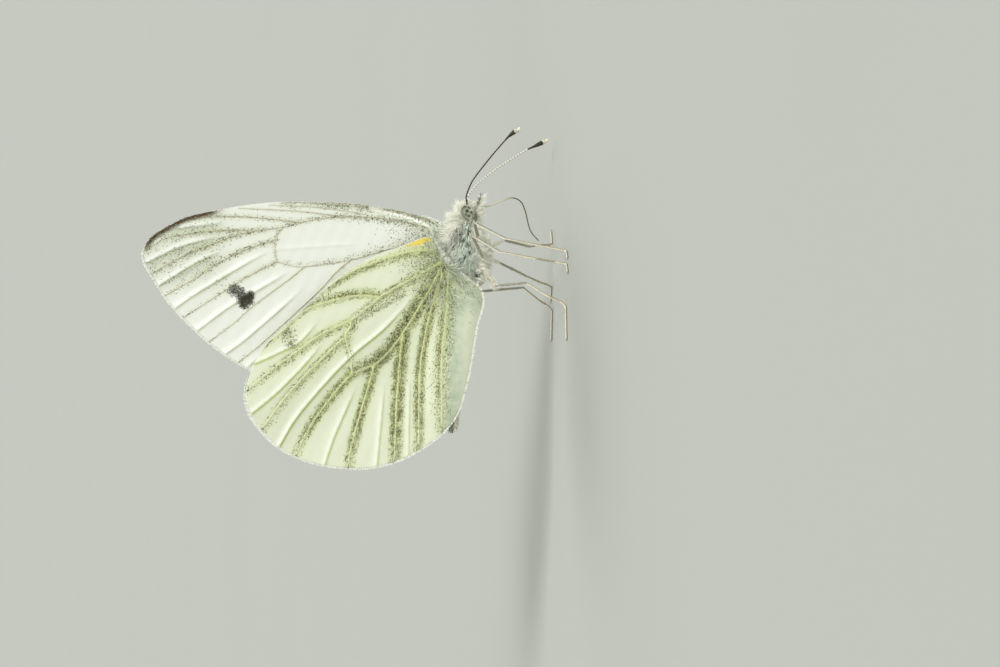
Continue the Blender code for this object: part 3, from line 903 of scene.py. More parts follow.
def fore_fields(plan):
    """Markings of a forewing: its underside, which faces out, and its upperside, each with painted
    highlights and painted shade along the folds.
    """
    x, z = plan.points.T
    rim = plan.margin
    apex = ease(z, 23.4, 2.2) * ease(x, -0.2, 2.5)
    front = ease(x, 1.2, 1.5)
    tip = np.clip(1.7 - rim / 0.34, 0, 1) * ease(z, 24.4, 1.6) * ease(x, 3.1, 1.0)
    costal = np.clip(1.5 - rim / 0.13, 0, 1) * ease(z, 10.5, 1.5) * ease(z, 21.3, -1.5)
    costal = 0.7 * costal * (x > 5)
    strip = bell(rim - 0.25, 0.3) * ease(z, 19.0, -3) * (x > 5)
    haze = np.maximum(0.7 * patch(x, z, (5.2, 9.2), 1.7), 0.7 * strip)
    # The tip's grey haze and dust are the wing's own colour, laid stronger behind the folds as
    # painted shade.
    haze = np.maximum(haze, apex * (0.15 + 0.5 * plan.hollow))
    shaded = apex * (0.05 + 0.11 * plan.hollow)
    base_dust = 0.35 * patch(x, z, (4.6, 9.4), 1.6) + 0.06 * patch(x, z, (4.9, 11.5), 2.0)
    ends = 0.55 * plan.crest * np.clip(1.2 - rim / 1.8, 0, 1) * (x < 6)
    radius, _ = plan.near(FORE_VEINS["radius"].route)
    behind = bell(radius - 0.1, 0.28) * ease(z, 17.0, -3)
    dust = np.maximum.reduce(
        [plan.dust * (0.3 + 0.22 * front), shaded, base_dust, 0.36 * behind, ends])
    # The spot is cleared along the fold that crosses it, where that fold's painted highlight runs.
    split, _ = plan.near(FORE_PLEATS["below_media_2"].route)
    crossed = 1 - 0.9 * bell(split + 0.03, 0.09)
    spot = spots(plan.points, FORE_SPOT) * crossed
    band, _ = plan.near(COSTAL_BAND)
    band = 0.9 * bell(band, 0.12)
    # lit is the painted fold highlight, and the costal band is laid in the same white; hollow is
    # painted shade, also spread weakly over the tip.
    outer = markings(
        plan, dust=dust * (1 - 0.7 * plan.lit) * (1 - band), spot=spot,
        edge=np.maximum(tip, costal), haze=np.clip(haze * (1 - band), 0, 1),
        crest=plan.crest, warm=plan.warm * (0.45 + 0.2 * apex),
        lit=np.maximum(plan.lit * 0.65 * (1 - 0.4 * apex), band),
        hollow=np.clip(plan.hollow * (0.3 + apex) + 0.3 * apex, 0, 1))
    dark_tip = ease((z - 26.3 + 0.35 * (3.4 - x)) / 1.6) * ease(x, -0.3, 2.5)
    upper = np.maximum(dark_tip, 0.9 * patch(x, z, (4.9, 8.9), 1.6))
    inner = markings(
        plan, dust=np.clip(0.35 * plan.dust * ease(z, 20, 5) + upper * 0.9, 0, 0.95),
        spot=spots(plan.points, UPPER_SPOTS), edge=bell(rim, 0.1) * (z > 12) * (x > 3),
        haze=np.clip(0.5 * upper, 0, 1), crest=plan.crest * 0.5, warm=plan.warm * 0.12,
        lit=plan.lit * 0.5)
    return outer, inner


def hind_fields(plan):
    """Markings of a hindwing: its green-veined underside and its plain upperside, each with painted
    highlights and painted shade along the folds.
    """
    x, z = plan.points.T
    rim = plan.margin
    cell, share = plan.near(CELL_STREAK)
    anal, along = plan.near(ANAL_STREAK)
    streak = 0.55 * np.clip(1.2 - np.abs(cell) / 0.2, 0, 1) * (1 - 0.4 * share)
    anal_streak = 0.4 * np.clip(1.2 - np.abs(anal) / 0.75, 0, 1) * (1 - 0.5 * along)
    root = 0.62 * patch(x, z, (2.6, 8.6), 2.1)
    patches = 0.6 * patch(x, z, (-2.5, 20.1), 0.5) + 0.75 * patch(x, z, (-2.1, 15.3), 0.3)
    mark = 0.7 * patch(x, z, (-3.3, 19.7), 0.35)
    ends = 0.8 * plan.crest * bell(rim, 0.35) * (x < -3)
    dust = np.maximum.reduce([plan.dust, streak, anal_streak, root, patches, mark])
    yellow = patch((x - 4.16 + 0.2 * (z - 10.4)) / 0.24, (z - 10.4) / 1.05, (0, 0), 1.0)
    inner_margin = ease(z, 9.2, -1.2) * ease(x, 1.5, -2)
    strip = ease(z, 8.1, -1.2) * ease(x, 0.5, -2)
    haze = np.clip(0.9 * patch(x, z, (2.6, 8.6), 2.4) + 1.45 * inner_margin, 0, 1.5)
    # lit is the painted fold highlight; warm holds the veins' own yellow-green and the painted shade
    # line of the folds.
    outer = markings(
        plan, spot=ends, yellow=yellow, haze=haze * (1 - 0.8 * strip),
        dust=dust * (1 - plan.bare) * (1 - np.minimum(1.6 * yellow, 1)) * (1 - 0.7 * strip),
        crest=plan.crest * (1 - 0.8 * patch(x, z, (2.4, 8.6), 2.4)),
        warm=plan.warm * (1 - 0.5 * inner_margin), lit=plan.lit * 0.6)
    outer_part = ease(np.hypot(x - 2, z - 8.5), 9, 4)
    inner = markings(
        plan, dust=0.25 * plan.dust * outer_part + 0.5 * patch(x, z, (2.2, 8.6), 2.2),
        spot=spots(plan.points, HIND_UPPER_SPOT), haze=0.5 * patch(x, z, (2.2, 8.6), 2.6),
        crest=plan.crest * 0.4, warm=plan.warm * 0.25, lit=plan.lit * 0.5)
    return outer, inner


def wing_paint(name, ground, vein, under, settings):
    """Scaled membrane: ground colour, painted shade in the folds' hollows, yellow-green along the
    veins with a painted shade line in the folds, painted highlights on the folds, vein crests, haze
    and dark specks.
    """
    paint = Paint(name, Roughness=0.62, Specular_IOR_Level=0.25, Sheen_Weight=0.15)
    mottle = paint.noise(1.6, 3)
    dust = paint.attribute("dust")
    # Painted shade in the hollows behind the folds.
    shade = paint.mix(ground, settings.shadow, paint.attribute("hollow") * (0.5 + 0.4 * mottle))
    # Haze: the roots' own blue-grey, and at the forewing's tip partly painted shade behind the folds.
    cloud = paint.noise(0.5, 4) * 1.2 + 0.1
    shade = paint.mix(shade, settings.haze, (paint.attribute("haze") * cloud).within())
    # Yellow-green: the veins' own colour, and a painted shade line in the folds.
    shade = paint.tint(shade, settings.warm, "warm", 0.85)
    shade = paint.mix(shade, under, (dust * 0.7 + mottle * dust * 0.3).within())
    # Painted highlight on the lit side of each fold.
    shade = paint.tint(shade, (1, 1, 0.95), "lit", 0.85)
    shade = paint.tint(shade, settings.saffron, "yellow", 1.9)
    shade = paint.tint(shade, vein, "crest", 0.7)
    fine = paint.lots(0.07) < dust * 0.58
    shade = paint.mix(shade, settings.dust, fine * 0.75)
    spot = paint.attribute("spot")
    shade = paint.mix(shade, settings.dust, (spot * 0.7).within())
    dark_lot = paint.lots(0.06) < spot * 0.9
    shade = paint.mix(shade, (0.02, 0.018, 0.01), dark_lot * 0.9)
    shade = paint.tint(shade, settings.edge, "edge", 1.2)
    return paint.finish(shade, bump=paint.noise(0.05, 1), height=0.012)


# ---------------- scales and hairs

def tuft_shape(name, rings, sides=3, bend=0.0, depth=1.0):
    """A closed blade one unit long on +Y, from (place, width) rings, and its flat pattern."""
    shape = bmesh.new()
    root = shape.verts.new((0, 0, 0))
    tip = shape.verts.new((0, 1, bend))
    loops = []
    for place, width in rings:
        loop = []
        for step in range(sides):
            turn = 2 * pi * (step + 0.25) / sides
            rise = bend * place ** 2 + depth * width / 2 * sin(turn)
            loop.append(shape.verts.new((width / 2 * cos(turn), place, rise)))
        loops.append(loop)
    for first, second in zip(loops, loops[1:]):
        for step, after in around(sides):
            shape.faces.new((first[step], first[after], second[after], second[step]))
    for step, after in around(sides):
        shape.faces.new((root, loops[0][after], loops[0][step]))
        shape.faces.new((tip, loops[-1][step], loops[-1][after]))
    bmesh.ops.recalc_face_normals(shape, faces=shape.faces)
    mesh = bpy.data.meshes.new(name)
    shape.to_mesh(mesh)
    shape.free()
    pattern = [((v.co.x + 0.5), v.co.y, 0) for v in mesh.vertices]
    set_attributes(mesh, pattern=np.array(pattern) - 0.5)
    return add_object(name, mesh)


GROWTH_FIELDS = (             # read while tufts grow and then removed
    "lie", "facing", "thick", "long", "roots", "pattern", "along", "dust", "haze", "crest",
    "warm", "lit", "yellow", "hollow",
)


def grow(host, name, shape, material, density, length, width, lift, stray, twist=0.0,
         along_line=False):
    """Tufts over a host's faces, or along its line, laid by its own attributes.

    The host carries lie (which way they point), thick (share of the density), long (share
    of the length) and roots (its unwrap). stray turns a tuft off its way by chance, and
    twist about its own length. The result has the OFBake map. Along a line, density is the
    space between tufts.
    """
    tree = Growth(
        name, shape=shape, density=density, length=length, width=width, lift=lift,
        stray=stray, twist=twist, seed=SEED, material=material)
    if along_line:
        points = tree.spaced_line(tree.input("density"))
    else:
        amount = tree.input("density") * tree.attribute("thick")
        spread = tree.node("GeometryNodeDistributePointsOnFaces", None, {
            "Mesh": tree.geometry, "Density": amount, "Seed": tree.input("seed")})
        points = tree.keep(
            spread.outputs["Points"], "facing", spread.outputs["Normal"], "FLOAT_VECTOR", "POINT")
    normal, lie, roots, pattern = (
        tree.attribute(key, "FLOAT_VECTOR") for key in ("facing", "lie", "roots", "pattern"))
    astray, sideways = tree.random_vector(1), tree.random_vector(4)
    raised = tree.sum(lie, tree.scaled(normal, tree.input("lift")))
    pointing = tree.sum(raised, tree.scaled(astray, tree.input("stray")))
    facing = tree.sum(normal, tree.scaled(sideways, tree.input("twist")))
    rotation = tree.turned("Z", facing, tree.turned("Y", pointing), pivot_axis="Y")
    size = tree.random(0.7, 1.2, 2)
    reach = size * tree.input("length") * tree.attribute("long")
    across = size * tree.input("width")
    placed = tree.copies(points, rotation, tree.stretch(across, reach, across))
    toned = tree.keep(placed, "lot", tree.random(0.0, 1.0, 3), "FLOAT", "INSTANCE")
    places = tree.sum(roots, tree.scaled(pattern, TUFT_PATCH))
    mapped = tree.keep(tree.realised(toned), "OFBake", places, "FLOAT2", "CORNER")
    made = tree.apply(host, name, mapped)
    for extra in GROWTH_FIELDS:
        if extra in made.data.attributes:
            made.data.attributes.remove(made.data.attributes[extra])
    return made


WING_CELL = 0.47              # width of a wing face's cell in the unwrap, and the cells' corners
OUTER_CELL, INNER_CELL = np.array((0.01, 0.02)), np.array((0.51, 0.02))
FRINGE_LENGTH, FRINGE_WIDTH = 1.25, 0.36     # shares of the fringe setting
COAT_TWIST = 1.3


def wing_unwrap(plan, inner):
    """Where the net's points lie in the unwrap: the outer face left, the inner right."""
    low, high = plan.rim.min(axis=0), plan.rim.max(axis=0)
    share = (plan.points - low) / (high - low).max()
    return share * WING_CELL + (INNER_CELL if inner else OUTER_CELL)


def wing_lie(plan, hub=HINGE):
    """Scales point from the root to the rim."""
    run = unit(plan.points - np.array(hub))
    return np.stack([run[:, 0], run[:, 0] * 0, run[:, 1]], axis=1)


def grow_on_wing(plan, wing, name, shape, material, thick, long=1.0, hub=HINGE, **sizes):
    """Tufts over a wing's two faces; thick and long are given for each of its points."""
    host = add_object("wing_host", wing.data.copy())
    lie = wing_lie(plan, hub)
    set_attributes(
        host.data, thick=thick, long=np.broadcast_to(long, len(thick)).astype(float),
        lie=np.vstack([lie, lie]))
    places = np.vstack([wing_unwrap(plan, False), wing_unwrap(plan, True)])
    set_unwrap(host.data, "roots", places[corner_points(host.data)])
    made = grow(host, name, shape, material, **sizes)
    discard(host)
    return made


def wing_scales(plan, wing, side_name, shape, settings, material):
    """Dark scales where a wing is dusted, on both of its faces."""
    fields = {}
    for name in ("dust", "spot", "edge"):
        values = np.zeros(len(wing.data.vertices), np.float32)
        wing.data.attributes[name].data.foreach_get("value", values)
        fields[name] = values
    thick = np.maximum.reduce([fields["dust"], fields["spot"] * 1.3, fields["edge"] * 1.5])
    thick[thick < 0.04] = 0
    return grow_on_wing(
        plan, wing, f"{plan.kind}_{side_name}_scales", shape, material, thick,
        density=settings.wing_scales / MM ** 2, length=settings.wing_scale,
        width=settings.wing_scale_width, lift=0.12, stray=0.25)


def root_hairs(plan, wing, side_name, shape, settings, material):
    """Long pale hairs over a wing's root, on its outer face."""
    x, z = plan.points.T
    if plan.kind == "hindwing":
        hub = HIND_WHORL
        thick = np.maximum(patch(x, z, (2.5, 8.0), 1.3), 0.8 * patch(x, z, (2.0, 6.6), 0.9))
        thick = thick * (0.7 + 1.6 * bell(plan.margin, 0.6))
        thick = np.maximum(thick, 0.4 * patch(x, z, (0.8, 8.6), 1.6))
        thick = np.maximum(thick, 1.1 * patch(x, z, (3.5, 9.0), 0.7))
    else:
        hub = FORE_WHORL
        thick = np.maximum(patch(x, z, (5.0, 9.0), 1.0), 1.5 * patch(x, z, (3.9, 8.7), 1.0))
    thick[thick < 0.03] = 0
    long = 0.6 + 0.4 * np.minimum(thick, 1)
    return grow_on_wing(
        plan, wing, f"{plan.kind}_{side_name}_root_hairs", shape, material,
        np.concatenate([thick, thick * 0]), np.concatenate([long, long]), hub,
        density=settings.root_hairs / MM ** 2, length=settings.root_hair,
        width=settings.root_hair_width, lift=0.4, stray=0.8, twist=0.8)


def wing_fringe(plan, side_name, shape, wing_settings, settings, material):
    """Pale scales that stand out all round a wing's rim."""
    side = SIDES[side_name]
    rim = plan.rim
    outward = inset(rim, -1.0) - rim
    x, z = rim.T
    long = 1 + 2.0 * patch(x, z, (3.0, 8.2), 1.7)
    if plan.kind == "hindwing":
        long = long * (1 - 0.6 * ease(z, 10, 2) * ease((x + 5 + (z - 10) * 0.25) / 3))
        long = long * (1 - 0.8 * patch(x, z, (4.4, 10.3), 1.2))
    else:
        front = np.maximum(ease(z, 24.5, 1.5) * ease(x, 3.1, 1.0), (x > 5) * (z > 10.2))
        long = long * (1 - 0.8 * front)
    nearest = [np.argmin(np.hypot(*(plan.points - point).T)) for point in rim]
    middle = plan.surface(x, z) + plan.fold[nearest] * plan.fold_height
    points = np.stack([x, side * middle, z], axis=1)
    count = len(points)
    host = add_mesh("fringe_host", points, [], around(count))
    lie = np.stack([outward[:, 0], outward[:, 0] * 0, outward[:, 1]], axis=1)
    facing = np.tile([0.0, side, 0.0], (count, 1))
    low, high = rim.min(axis=0), rim.max(axis=0)
    place = (rim - low) / (high - low).max() * 0.94 + 0.03
    set_attributes(
        host.data, lie=lie, facing=facing, long=long,
        roots=np.column_stack([place, np.zeros(count)]))
    made = grow(
        host, f"{plan.kind}_{side_name}_fringe", shape, material,
        density=settings.fringe_spacing, length=wing_settings.fringe * FRINGE_LENGTH,
        width=wing_settings.fringe * FRINGE_WIDTH, lift=0.0, stray=0.55, along_line=True)
    discard(host)
    return made


# ---------------- operators

PLANS = {}


class BUTTERFLY_OT_wings(bpy.types.Operator):
    """Builds the four wings with their veins, pleats and markings"""
    bl_idname = "butterfly.wings"
    bl_label = "Wings"

    def execute(self, context):
        settings = context.scene.butterfly_wings
        kinds = {
            "forewing": (FORE_VEINS, FORE_PLEATS, fore_surface, fore_fields, "wing_white",
                         settings.white, settings.tan, settings.grey),
            "hindwing": (HIND_VEINS, HIND_PLEATS, hind_surface, hind_fields, "wing_yellow",
                         settings.cream, settings.ridge, settings.olive),
        }
        for kind, (veins, pleats, surface, fields, slot, *colours) in kinds.items():
            plan = WingPlan(kind, veins, pleats, surface, settings)
            PLANS[kind] = plan
            outer, inner = fields(plan)
            material = wing_paint(f"{kind}_membrane", *colours, settings)
            for side_name in SIDES:
                wing = plan.build(side_name, outer, inner)
                finish_piece(wing, slot, f"{kind}_{side_name}", paint=material)
        return {"FINISHED"}


class BUTTERFLY_OT_wing_scales(bpy.types.Operator):
    """Lays the dark scales on the wings and the pale fringe round them"""
    bl_idname = "butterfly.wing_scales"
    bl_label = "Wing scales"

    def execute(self, context):
        wings, settings = context.scene.butterfly_wings, context.scene.butterfly_coat
        flake = tuft_shape("flake", ((0.55, 1.0),), depth=0.12, bend=0.08)
        bristle = tuft_shape("fringe_scale", ((0.3, 0.8), (0.8, 1.0)), depth=0.15)
        hair = hair_shape("root_hair")
        root_paint = {
            "forewing": hair_paint("shoulder_hair", (0.6, 0.64, 0.6), settings.root_light, 0.5),
            "hindwing": hair_paint("root_hair", settings.root_dark, settings.root_light, 0.6),
        }
        dark = Paint("dark_scales", Roughness=0.55, Specular_IOR_Level=0.3)
        lot = dark.attribute("lot") * (1 - dark.attribute("spot"))
        shade = dark.mix((0.05, 0.047, 0.028), (0.36, 0.37, 0.18), (lot * 4 - 1.8).within())
        shade = dark.mix(shade, (0.78, 0.79, 0.5), (lot * 8 - 6.4).within())
        shade = dark.mix(shade, wings.edge, (dark.attribute("edge") * 0.7).within())
        dark = dark.finish(shade, bump=dark.noise(0.02), height=0.004)
        pale = Paint("fringe_scales", Roughness=0.6, Specular_IOR_Level=0.3, Sheen_Weight=0.2)
        shade = pale.mix((0.78, 0.79, 0.68), (0.9, 0.9, 0.84), pale.attribute("lot"))
        pale = pale.finish(shade, bump=pale.noise(0.02), height=0.004)
        for kind, plan in PLANS.items():
            slot = "wing_white" if kind == "forewing" else "wing_yellow"
            for side_name in SIDES:
                wing = bpy.data.objects[f"{kind}_{side_name}_membrane"]
                for made in (
                    wing_scales(plan, wing, side_name, flake, settings, dark),
                    wing_fringe(plan, side_name, bristle, wings, settings, pale),
                    root_hairs(plan, wing, side_name, hair, settings, root_paint[kind]),
                ):
                    finish_piece(made, slot)
        discard(flake, bristle, hair)
        return {"FINISHED"}


# ---------------- body

# The skin's middle line and radius, x, z, radius: the solids' trunk less the coat's depth
SKIN = (
    (-9.3, 7.9, 0.36), (-8.6, 8.0, 0.56), (-7.6, 7.95, 0.72), (-5.6, 7.68, 0.88),
    (-2.3, 7.35, 0.97), (0.2, 7.05, 0.86), (1.2, 6.92, 0.75), (1.9, 6.85, 0.98),
    (2.9, 6.85, 1.26), (4.0, 6.98, 1.32), (4.8, 7.03, 1.1), (5.3, 6.95, 0.8),
    (5.7, 6.9, 0.79), (6.1, 6.8, 0.76), (6.45, 6.7, 0.62), (6.7, 6.62, 0.38),
)
TRUNK_WIDTH = 0.95            # width of the trunk against its height
SKIN_STEP, SKIN_SIDES = 0.06, 64        # spacing of the skin's rings, and their corners
FACET_TOP = 0.72              # width of a facet's raised top against its foot
ABDOMEN_X = 1.3               # where the abdomen meets the thorax
FACE_X = 5.4                  # where the head begins
SEGMENT, SEGMENT_STEP = 1.32, 0.06      # length of an abdomen ring and its raised rear edge
EYE_CENTRE, EYE_RADII, EYE_TILT = (6.16, 0.74, 6.81), (0.77, 0.55, 0.55), radians(43)
EYE_SPOTS = (                 # x, z, radius, darkness; the first is the false pupil
    (6.36, 6.94, 0.11, 1.0), (6.25, 6.61, 0.1, 0.85), (6.1, 7.01, 0.075, 0.8),
    (6.0, 6.8, 0.085, 0.9), (6.6, 6.81, 0.07, 0.85), (6.54, 6.73, 0.06, 0.8),
    (6.66, 7.11, 0.085, 0.6), (6.5, 7.18, 0.09, 0.55),
)
FLANK_MARKS = (               # x, z, radius of the dark tufts on the thorax
    (4.87, 7.68, 0.17), (4.6, 8.1, 0.12), (4.5, 7.85, 0.13), (4.23, 8.05, 0.1),
    (3.9, 7.78, 0.14), (4.34, 7.23, 0.12), (4.8, 7.43, 0.09), (4.87, 6.73, 0.1),
    (4.04, 6.84, 0.11), (3.49, 6.66, 0.12), (3.1, 7.0, 0.13), (2.85, 7.3, 0.12),
    (2.62, 7.65, 0.12), (2.35, 8.2, 0.12), (2.0, 6.15, 0.2), (5.25, 7.45, 0.1),
    (6.06, 7.47, 0.05), (5.92, 7.34, 0.05),
)
BEAD_OVERLAP = 1.08           # length of an antenna bead against the space between two
PALP = ((5.9, 0.3, 6.3), (6.5, 0.36, 6.12), (7.0, 0.4, 5.93), (7.42, 0.42, 5.78))
TEGULA = ((5.55, 1.2, 7.45), (5.25, 1.4, 7.8), (4.85, 1.45, 8.15), (4.4, 1.4, 8.4))


def frames_along(route):
    """A route's direction at each point and two across it, which turn as little as they can."""
    tangents = unit(np.gradient(route, axis=0))
    across = np.cross(tangents[0], (0, 0, 1.0))
    if np.linalg.norm(across) < 0.1:
        across = np.cross(tangents[0], (1.0, 0, 0))
    firsts, seconds = [], []
    for tangent in tangents:
        across = unit(across - tangent * (across @ tangent))
        firsts.append(across)
        seconds.append(np.cross(across, tangent))
    return tangents, np.array(firsts), np.array(seconds)


def rounded_ends(route, radii, steps=3):
    """The same tube with its ends closed to domes."""
    start, end = unit(route[0] - route[1]), unit(route[-1] - route[-2])
    turns = np.linspace(0, pi / 2, steps + 1)[1:] * 0.94
    front = [route[0] + start * radii[0] * sin(turn) for turn in turns[::-1]]
    back = [route[-1] + end * radii[-1] * sin(turn) for turn in turns]
    caps = np.cos(turns)
    route = np.vstack([front, route, back])
    radii = np.concatenate([radii[0] * caps[::-1], radii, radii[-1] * caps])
    return route, radii


class Tube(NamedTuple):
    """A closed tube's points and faces, with its unwrap and the way along it."""
    points: np.ndarray
    faces: list
    unwrap: list              # one place for each face corner
    along: np.ndarray         # share of the tube's length at each point
    tangents: np.ndarray
    normals: np.ndarray


def tube(route, radii, sides=12, width=1.0, tile=(0, 0, 1), domes=True):
    """A tube along a route in mm. tile is the column, row and count of its unwrap's cell."""
    route, radii = np.asarray(route, float), np.asarray(radii, float)
    if domes:
        route, radii = rounded_ends(route, radii)
    tangents, across, rise = frames_along(route)
    turns = 2 * pi * np.arange(sides) / sides
    outward = (
        np.cos(turns)[None, :, None] * across[:, None, :] * width
        + np.sin(turns)[None, :, None] * rise[:, None, :])
    points = (route[:, None, :] + outward * radii[:, None, None]).reshape(-1, 3)
    count = len(route)
    points = np.vstack([points, route[:1], route[-1:]])
    column, row, cells = tile
    faces, unwrap = [], []

    def place(ring, step):
        return ((column + 0.04 + 0.92 * step / sides) / cells,
                (row + 0.04 + 0.92 * ring / (count - 1)) / cells)

    for ring in range(count - 1):
        for step, after in around(sides):
            faces.append([
                ring * sides + step, (ring + 1) * sides + step,
                (ring + 1) * sides + after, ring * sides + after])
            unwrap += [place(ring, step), place(ring + 1, step),
                       place(ring + 1, step + 1), place(ring, step + 1)]
    first, last = count * sides, count * sides + 1
    end = (count - 1) * sides
    for step, after in around(sides):
        faces += [[first, step, after], [last, end + after, end + step]]
        unwrap += [place(0, step), place(0, step), place(0, step + 1)]
        unwrap += [place(count - 1, step)] * 2 + [place(count - 1, step + 1)]
    along = np.repeat(np.linspace(0, 1, count), sides)
    along = np.concatenate([along, [0, 1]])
    normals = np.vstack([outward.reshape(-1, 3), -tangents[:1], tangents[-1:]])
    tangents = np.vstack([np.repeat(tangents, sides, axis=0), tangents[:1], tangents[-1:]])
    return Tube(points, faces, unwrap, along, tangents, normals)


def join_tubes(name, tubes, **fields):
    """One mesh object of several tubes, with the fields given for each point of them all."""
    points, faces, unwrap, count = [], [], [], 0
    for part in tubes:
        points.append(part.points)
        faces += [[index + count for index in face] for face in part.faces]
        unwrap += part.unwrap
        count += len(part.points)
    made = add_mesh(name, np.vstack(points), faces)
    set_unwrap(made.data, "roots", unwrap)
    set_attributes(made.data, along=np.concatenate([part.along for part in tubes]), **fields)
    bm = bmesh.new()
    bm.from_mesh(made.data)
    bmesh.ops.recalc_face_normals(bm, faces=bm.faces)
    bm.to_mesh(made.data)
    bm.free()
    made.data.shade_smooth()
    return made


def cover(name, tubes, slot, shape, paint, lie, thick, long, density, length, width,
          lift=0.0, stray=0.25):
    """Hairs over some tubes; lie, thick and long are given for each of their points."""
    lie, count = unit(lie), len(lie)
    host = join_tubes(
        "coat_host", tubes, thick=np.broadcast_to(thick, count).astype(float),
        long=np.broadcast_to(long, count).astype(float), lie=lie)
    made = grow(
        host, name, shape, paint, density=density / MM ** 2, length=length, width=width,
        lift=lift, stray=stray, twist=COAT_TWIST)
    finish_piece(made, slot)
    discard(host)


def hair_shape(name="hair", bend=0.12):
    return tuft_shape(name, ((0.03, 0.8), (0.35, 1.0), (0.75, 0.6)), bend=bend, depth=0.3)


def hair_paint(name, dark, light, share=1.0, sheen=0.5):
    """Hairs and scales of mixed colours."""
    paint = Paint(
        name, Roughness=0.55, Specular_IOR_Level=0.4, Sheen_Weight=sheen, Sheen_Roughness=0.4)
    shade = paint.mix(dark, light, (paint.attribute("lot") ** share).within())
    return paint.finish(shade, bump=paint.noise(0.03), height=0.004)


class Trunk:
    """The skin from the abdomen's tip to the face, and where each region of it lies."""

    def __init__(self):
        xs = np.arange(SKIN[0][0], SKIN[-1][0], SKIN_STEP)
        profile = smooth_route(SKIN, 0.05)
        z = np.interp(xs, profile[:, 0], profile[:, 1])
        radii = np.interp(xs, profile[:, 0], profile[:, 2])
        ring_share = ((ABDOMEN_X - xs) / SEGMENT) % 1
        rings = radii + (xs < ABDOMEN_X - 0.3) * SEGMENT_STEP * (ring_share ** 2 - 0.5)
        route = np.stack([xs, xs * 0, z], axis=1)
        self.skin = tube(route, rings, sides=SKIN_SIDES, width=TRUNK_WIDTH)
        points = self.skin.points
        x = self.x = points[:, 0]
        middle = np.interp(x, xs, z)
        self.dorsal = dorsal = np.clip((points[:, 2] - middle) / np.interp(x, xs, radii), -1, 1)
        self.open = (eye_reach(points) > 0.88) * 1.0
        self.thorax = ease(x, ABDOMEN_X, 0.5) * ease(x, 5.6, -0.4)
        self.head = ease(x, FACE_X, 0.35)
        self.below = ease(dorsal, -0.35, -0.3)
        self.collar = self.thorax * ease(x, 3.7, 0.7) * ease(dorsal, 0.3, 0.35)
        self.back = self.thorax * ease(dorsal, 0.45, 0.3)
        self.flank = self.thorax * (1 - ease((np.abs(dorsal + 0.03) - 0.58) / 0.25))
        self.rear = self.thorax * ease(x, 3.9, -0.8) * (dorsal > -0.4)
        self.marks = np.zeros(len(x))
        for mark_x, mark_z, radius in FLANK_MARKS:
            reach = np.hypot(x - mark_x, points[:, 2] - mark_z)
            self.marks = np.maximum(self.marks, bell(reach, radius))
        self.ruff = ease(x, 4.5, 0.5) * ease(x, 6.3, -0.4) * ease(dorsal, 0.1, 0.35)

    def lie(self, stand, ahead=0.0, rise=0.0):
        """Hairs lean back along the skin, or ahead where that is 1, and stand by a share."""
        way = self.skin.tangents * np.where(ahead > 0.5, 1.0, -1.0)[..., None]
        stand = np.broadcast_to(stand, len(self.x))[:, None]
        lie = way * (1 - stand) + self.skin.normals * stand
        lie[:, 2] += rise
        return lie


def eye_reach(points):
    """How far points lie from an eye's middle, where 1 is on its surface."""
    x, y, z = (np.abs(points * (0, 1, 0)) + points * (1, 0, 1) - np.array(EYE_CENTRE)).T
    long = (x * cos(EYE_TILT) + z * sin(EYE_TILT)) / EYE_RADII[0]
    short = (z * cos(EYE_TILT) - x * sin(EYE_TILT)) / EYE_RADII[2]
    return np.sqrt(long ** 2 + short ** 2 + (y / EYE_RADII[1]) ** 2)


class BUTTERFLY_OT_body(bpy.types.Operator):
    """Builds the one skin of head, neck, thorax and abdomen"""
    bl_idname = "butterfly.body"
    bl_label = "Body skin"

    def execute(self, context):
        settings = context.scene.butterfly_body
        trunk = Trunk()
        pale = np.clip(trunk.back + trunk.below * (trunk.thorax + trunk.head) + trunk.head, 0, 1)
        body = join_tubes(
            "body_skin", [trunk.skin], dorsal=trunk.dorsal, pale=pale, marks=trunk.marks,
            front=ease(trunk.x, 1.0, 0.6))
        paint = Paint("body_skin", Roughness=0.5, Specular_IOR_Level=0.3)
        back = paint.attribute("dorsal") * 0.6 + paint.noise(0.4, 3) * 0.6
        abdomen = paint.mix(settings.belly, settings.back, back.within())
        mottle = (paint.noise(0.22, 3) * 2.4 - 0.9).within()
        flank = paint.mix(settings.flank, settings.grey_hair, mottle)
        flank = paint.mix(flank, settings.cream_hair, paint.attribute("pale"))
        shade = paint.mix(abdomen, flank, paint.attribute("front"))
        shade = paint.tint(shade, settings.mark, "marks", 0.7)
        finish_piece(
            body, "white_body", "head", "neck", "thorax", "abdomen", "abdomen_tip",
            paint=paint.finish(shade, bump=paint.cells(0.09), height=0.03))
        return {"FINISHED"}


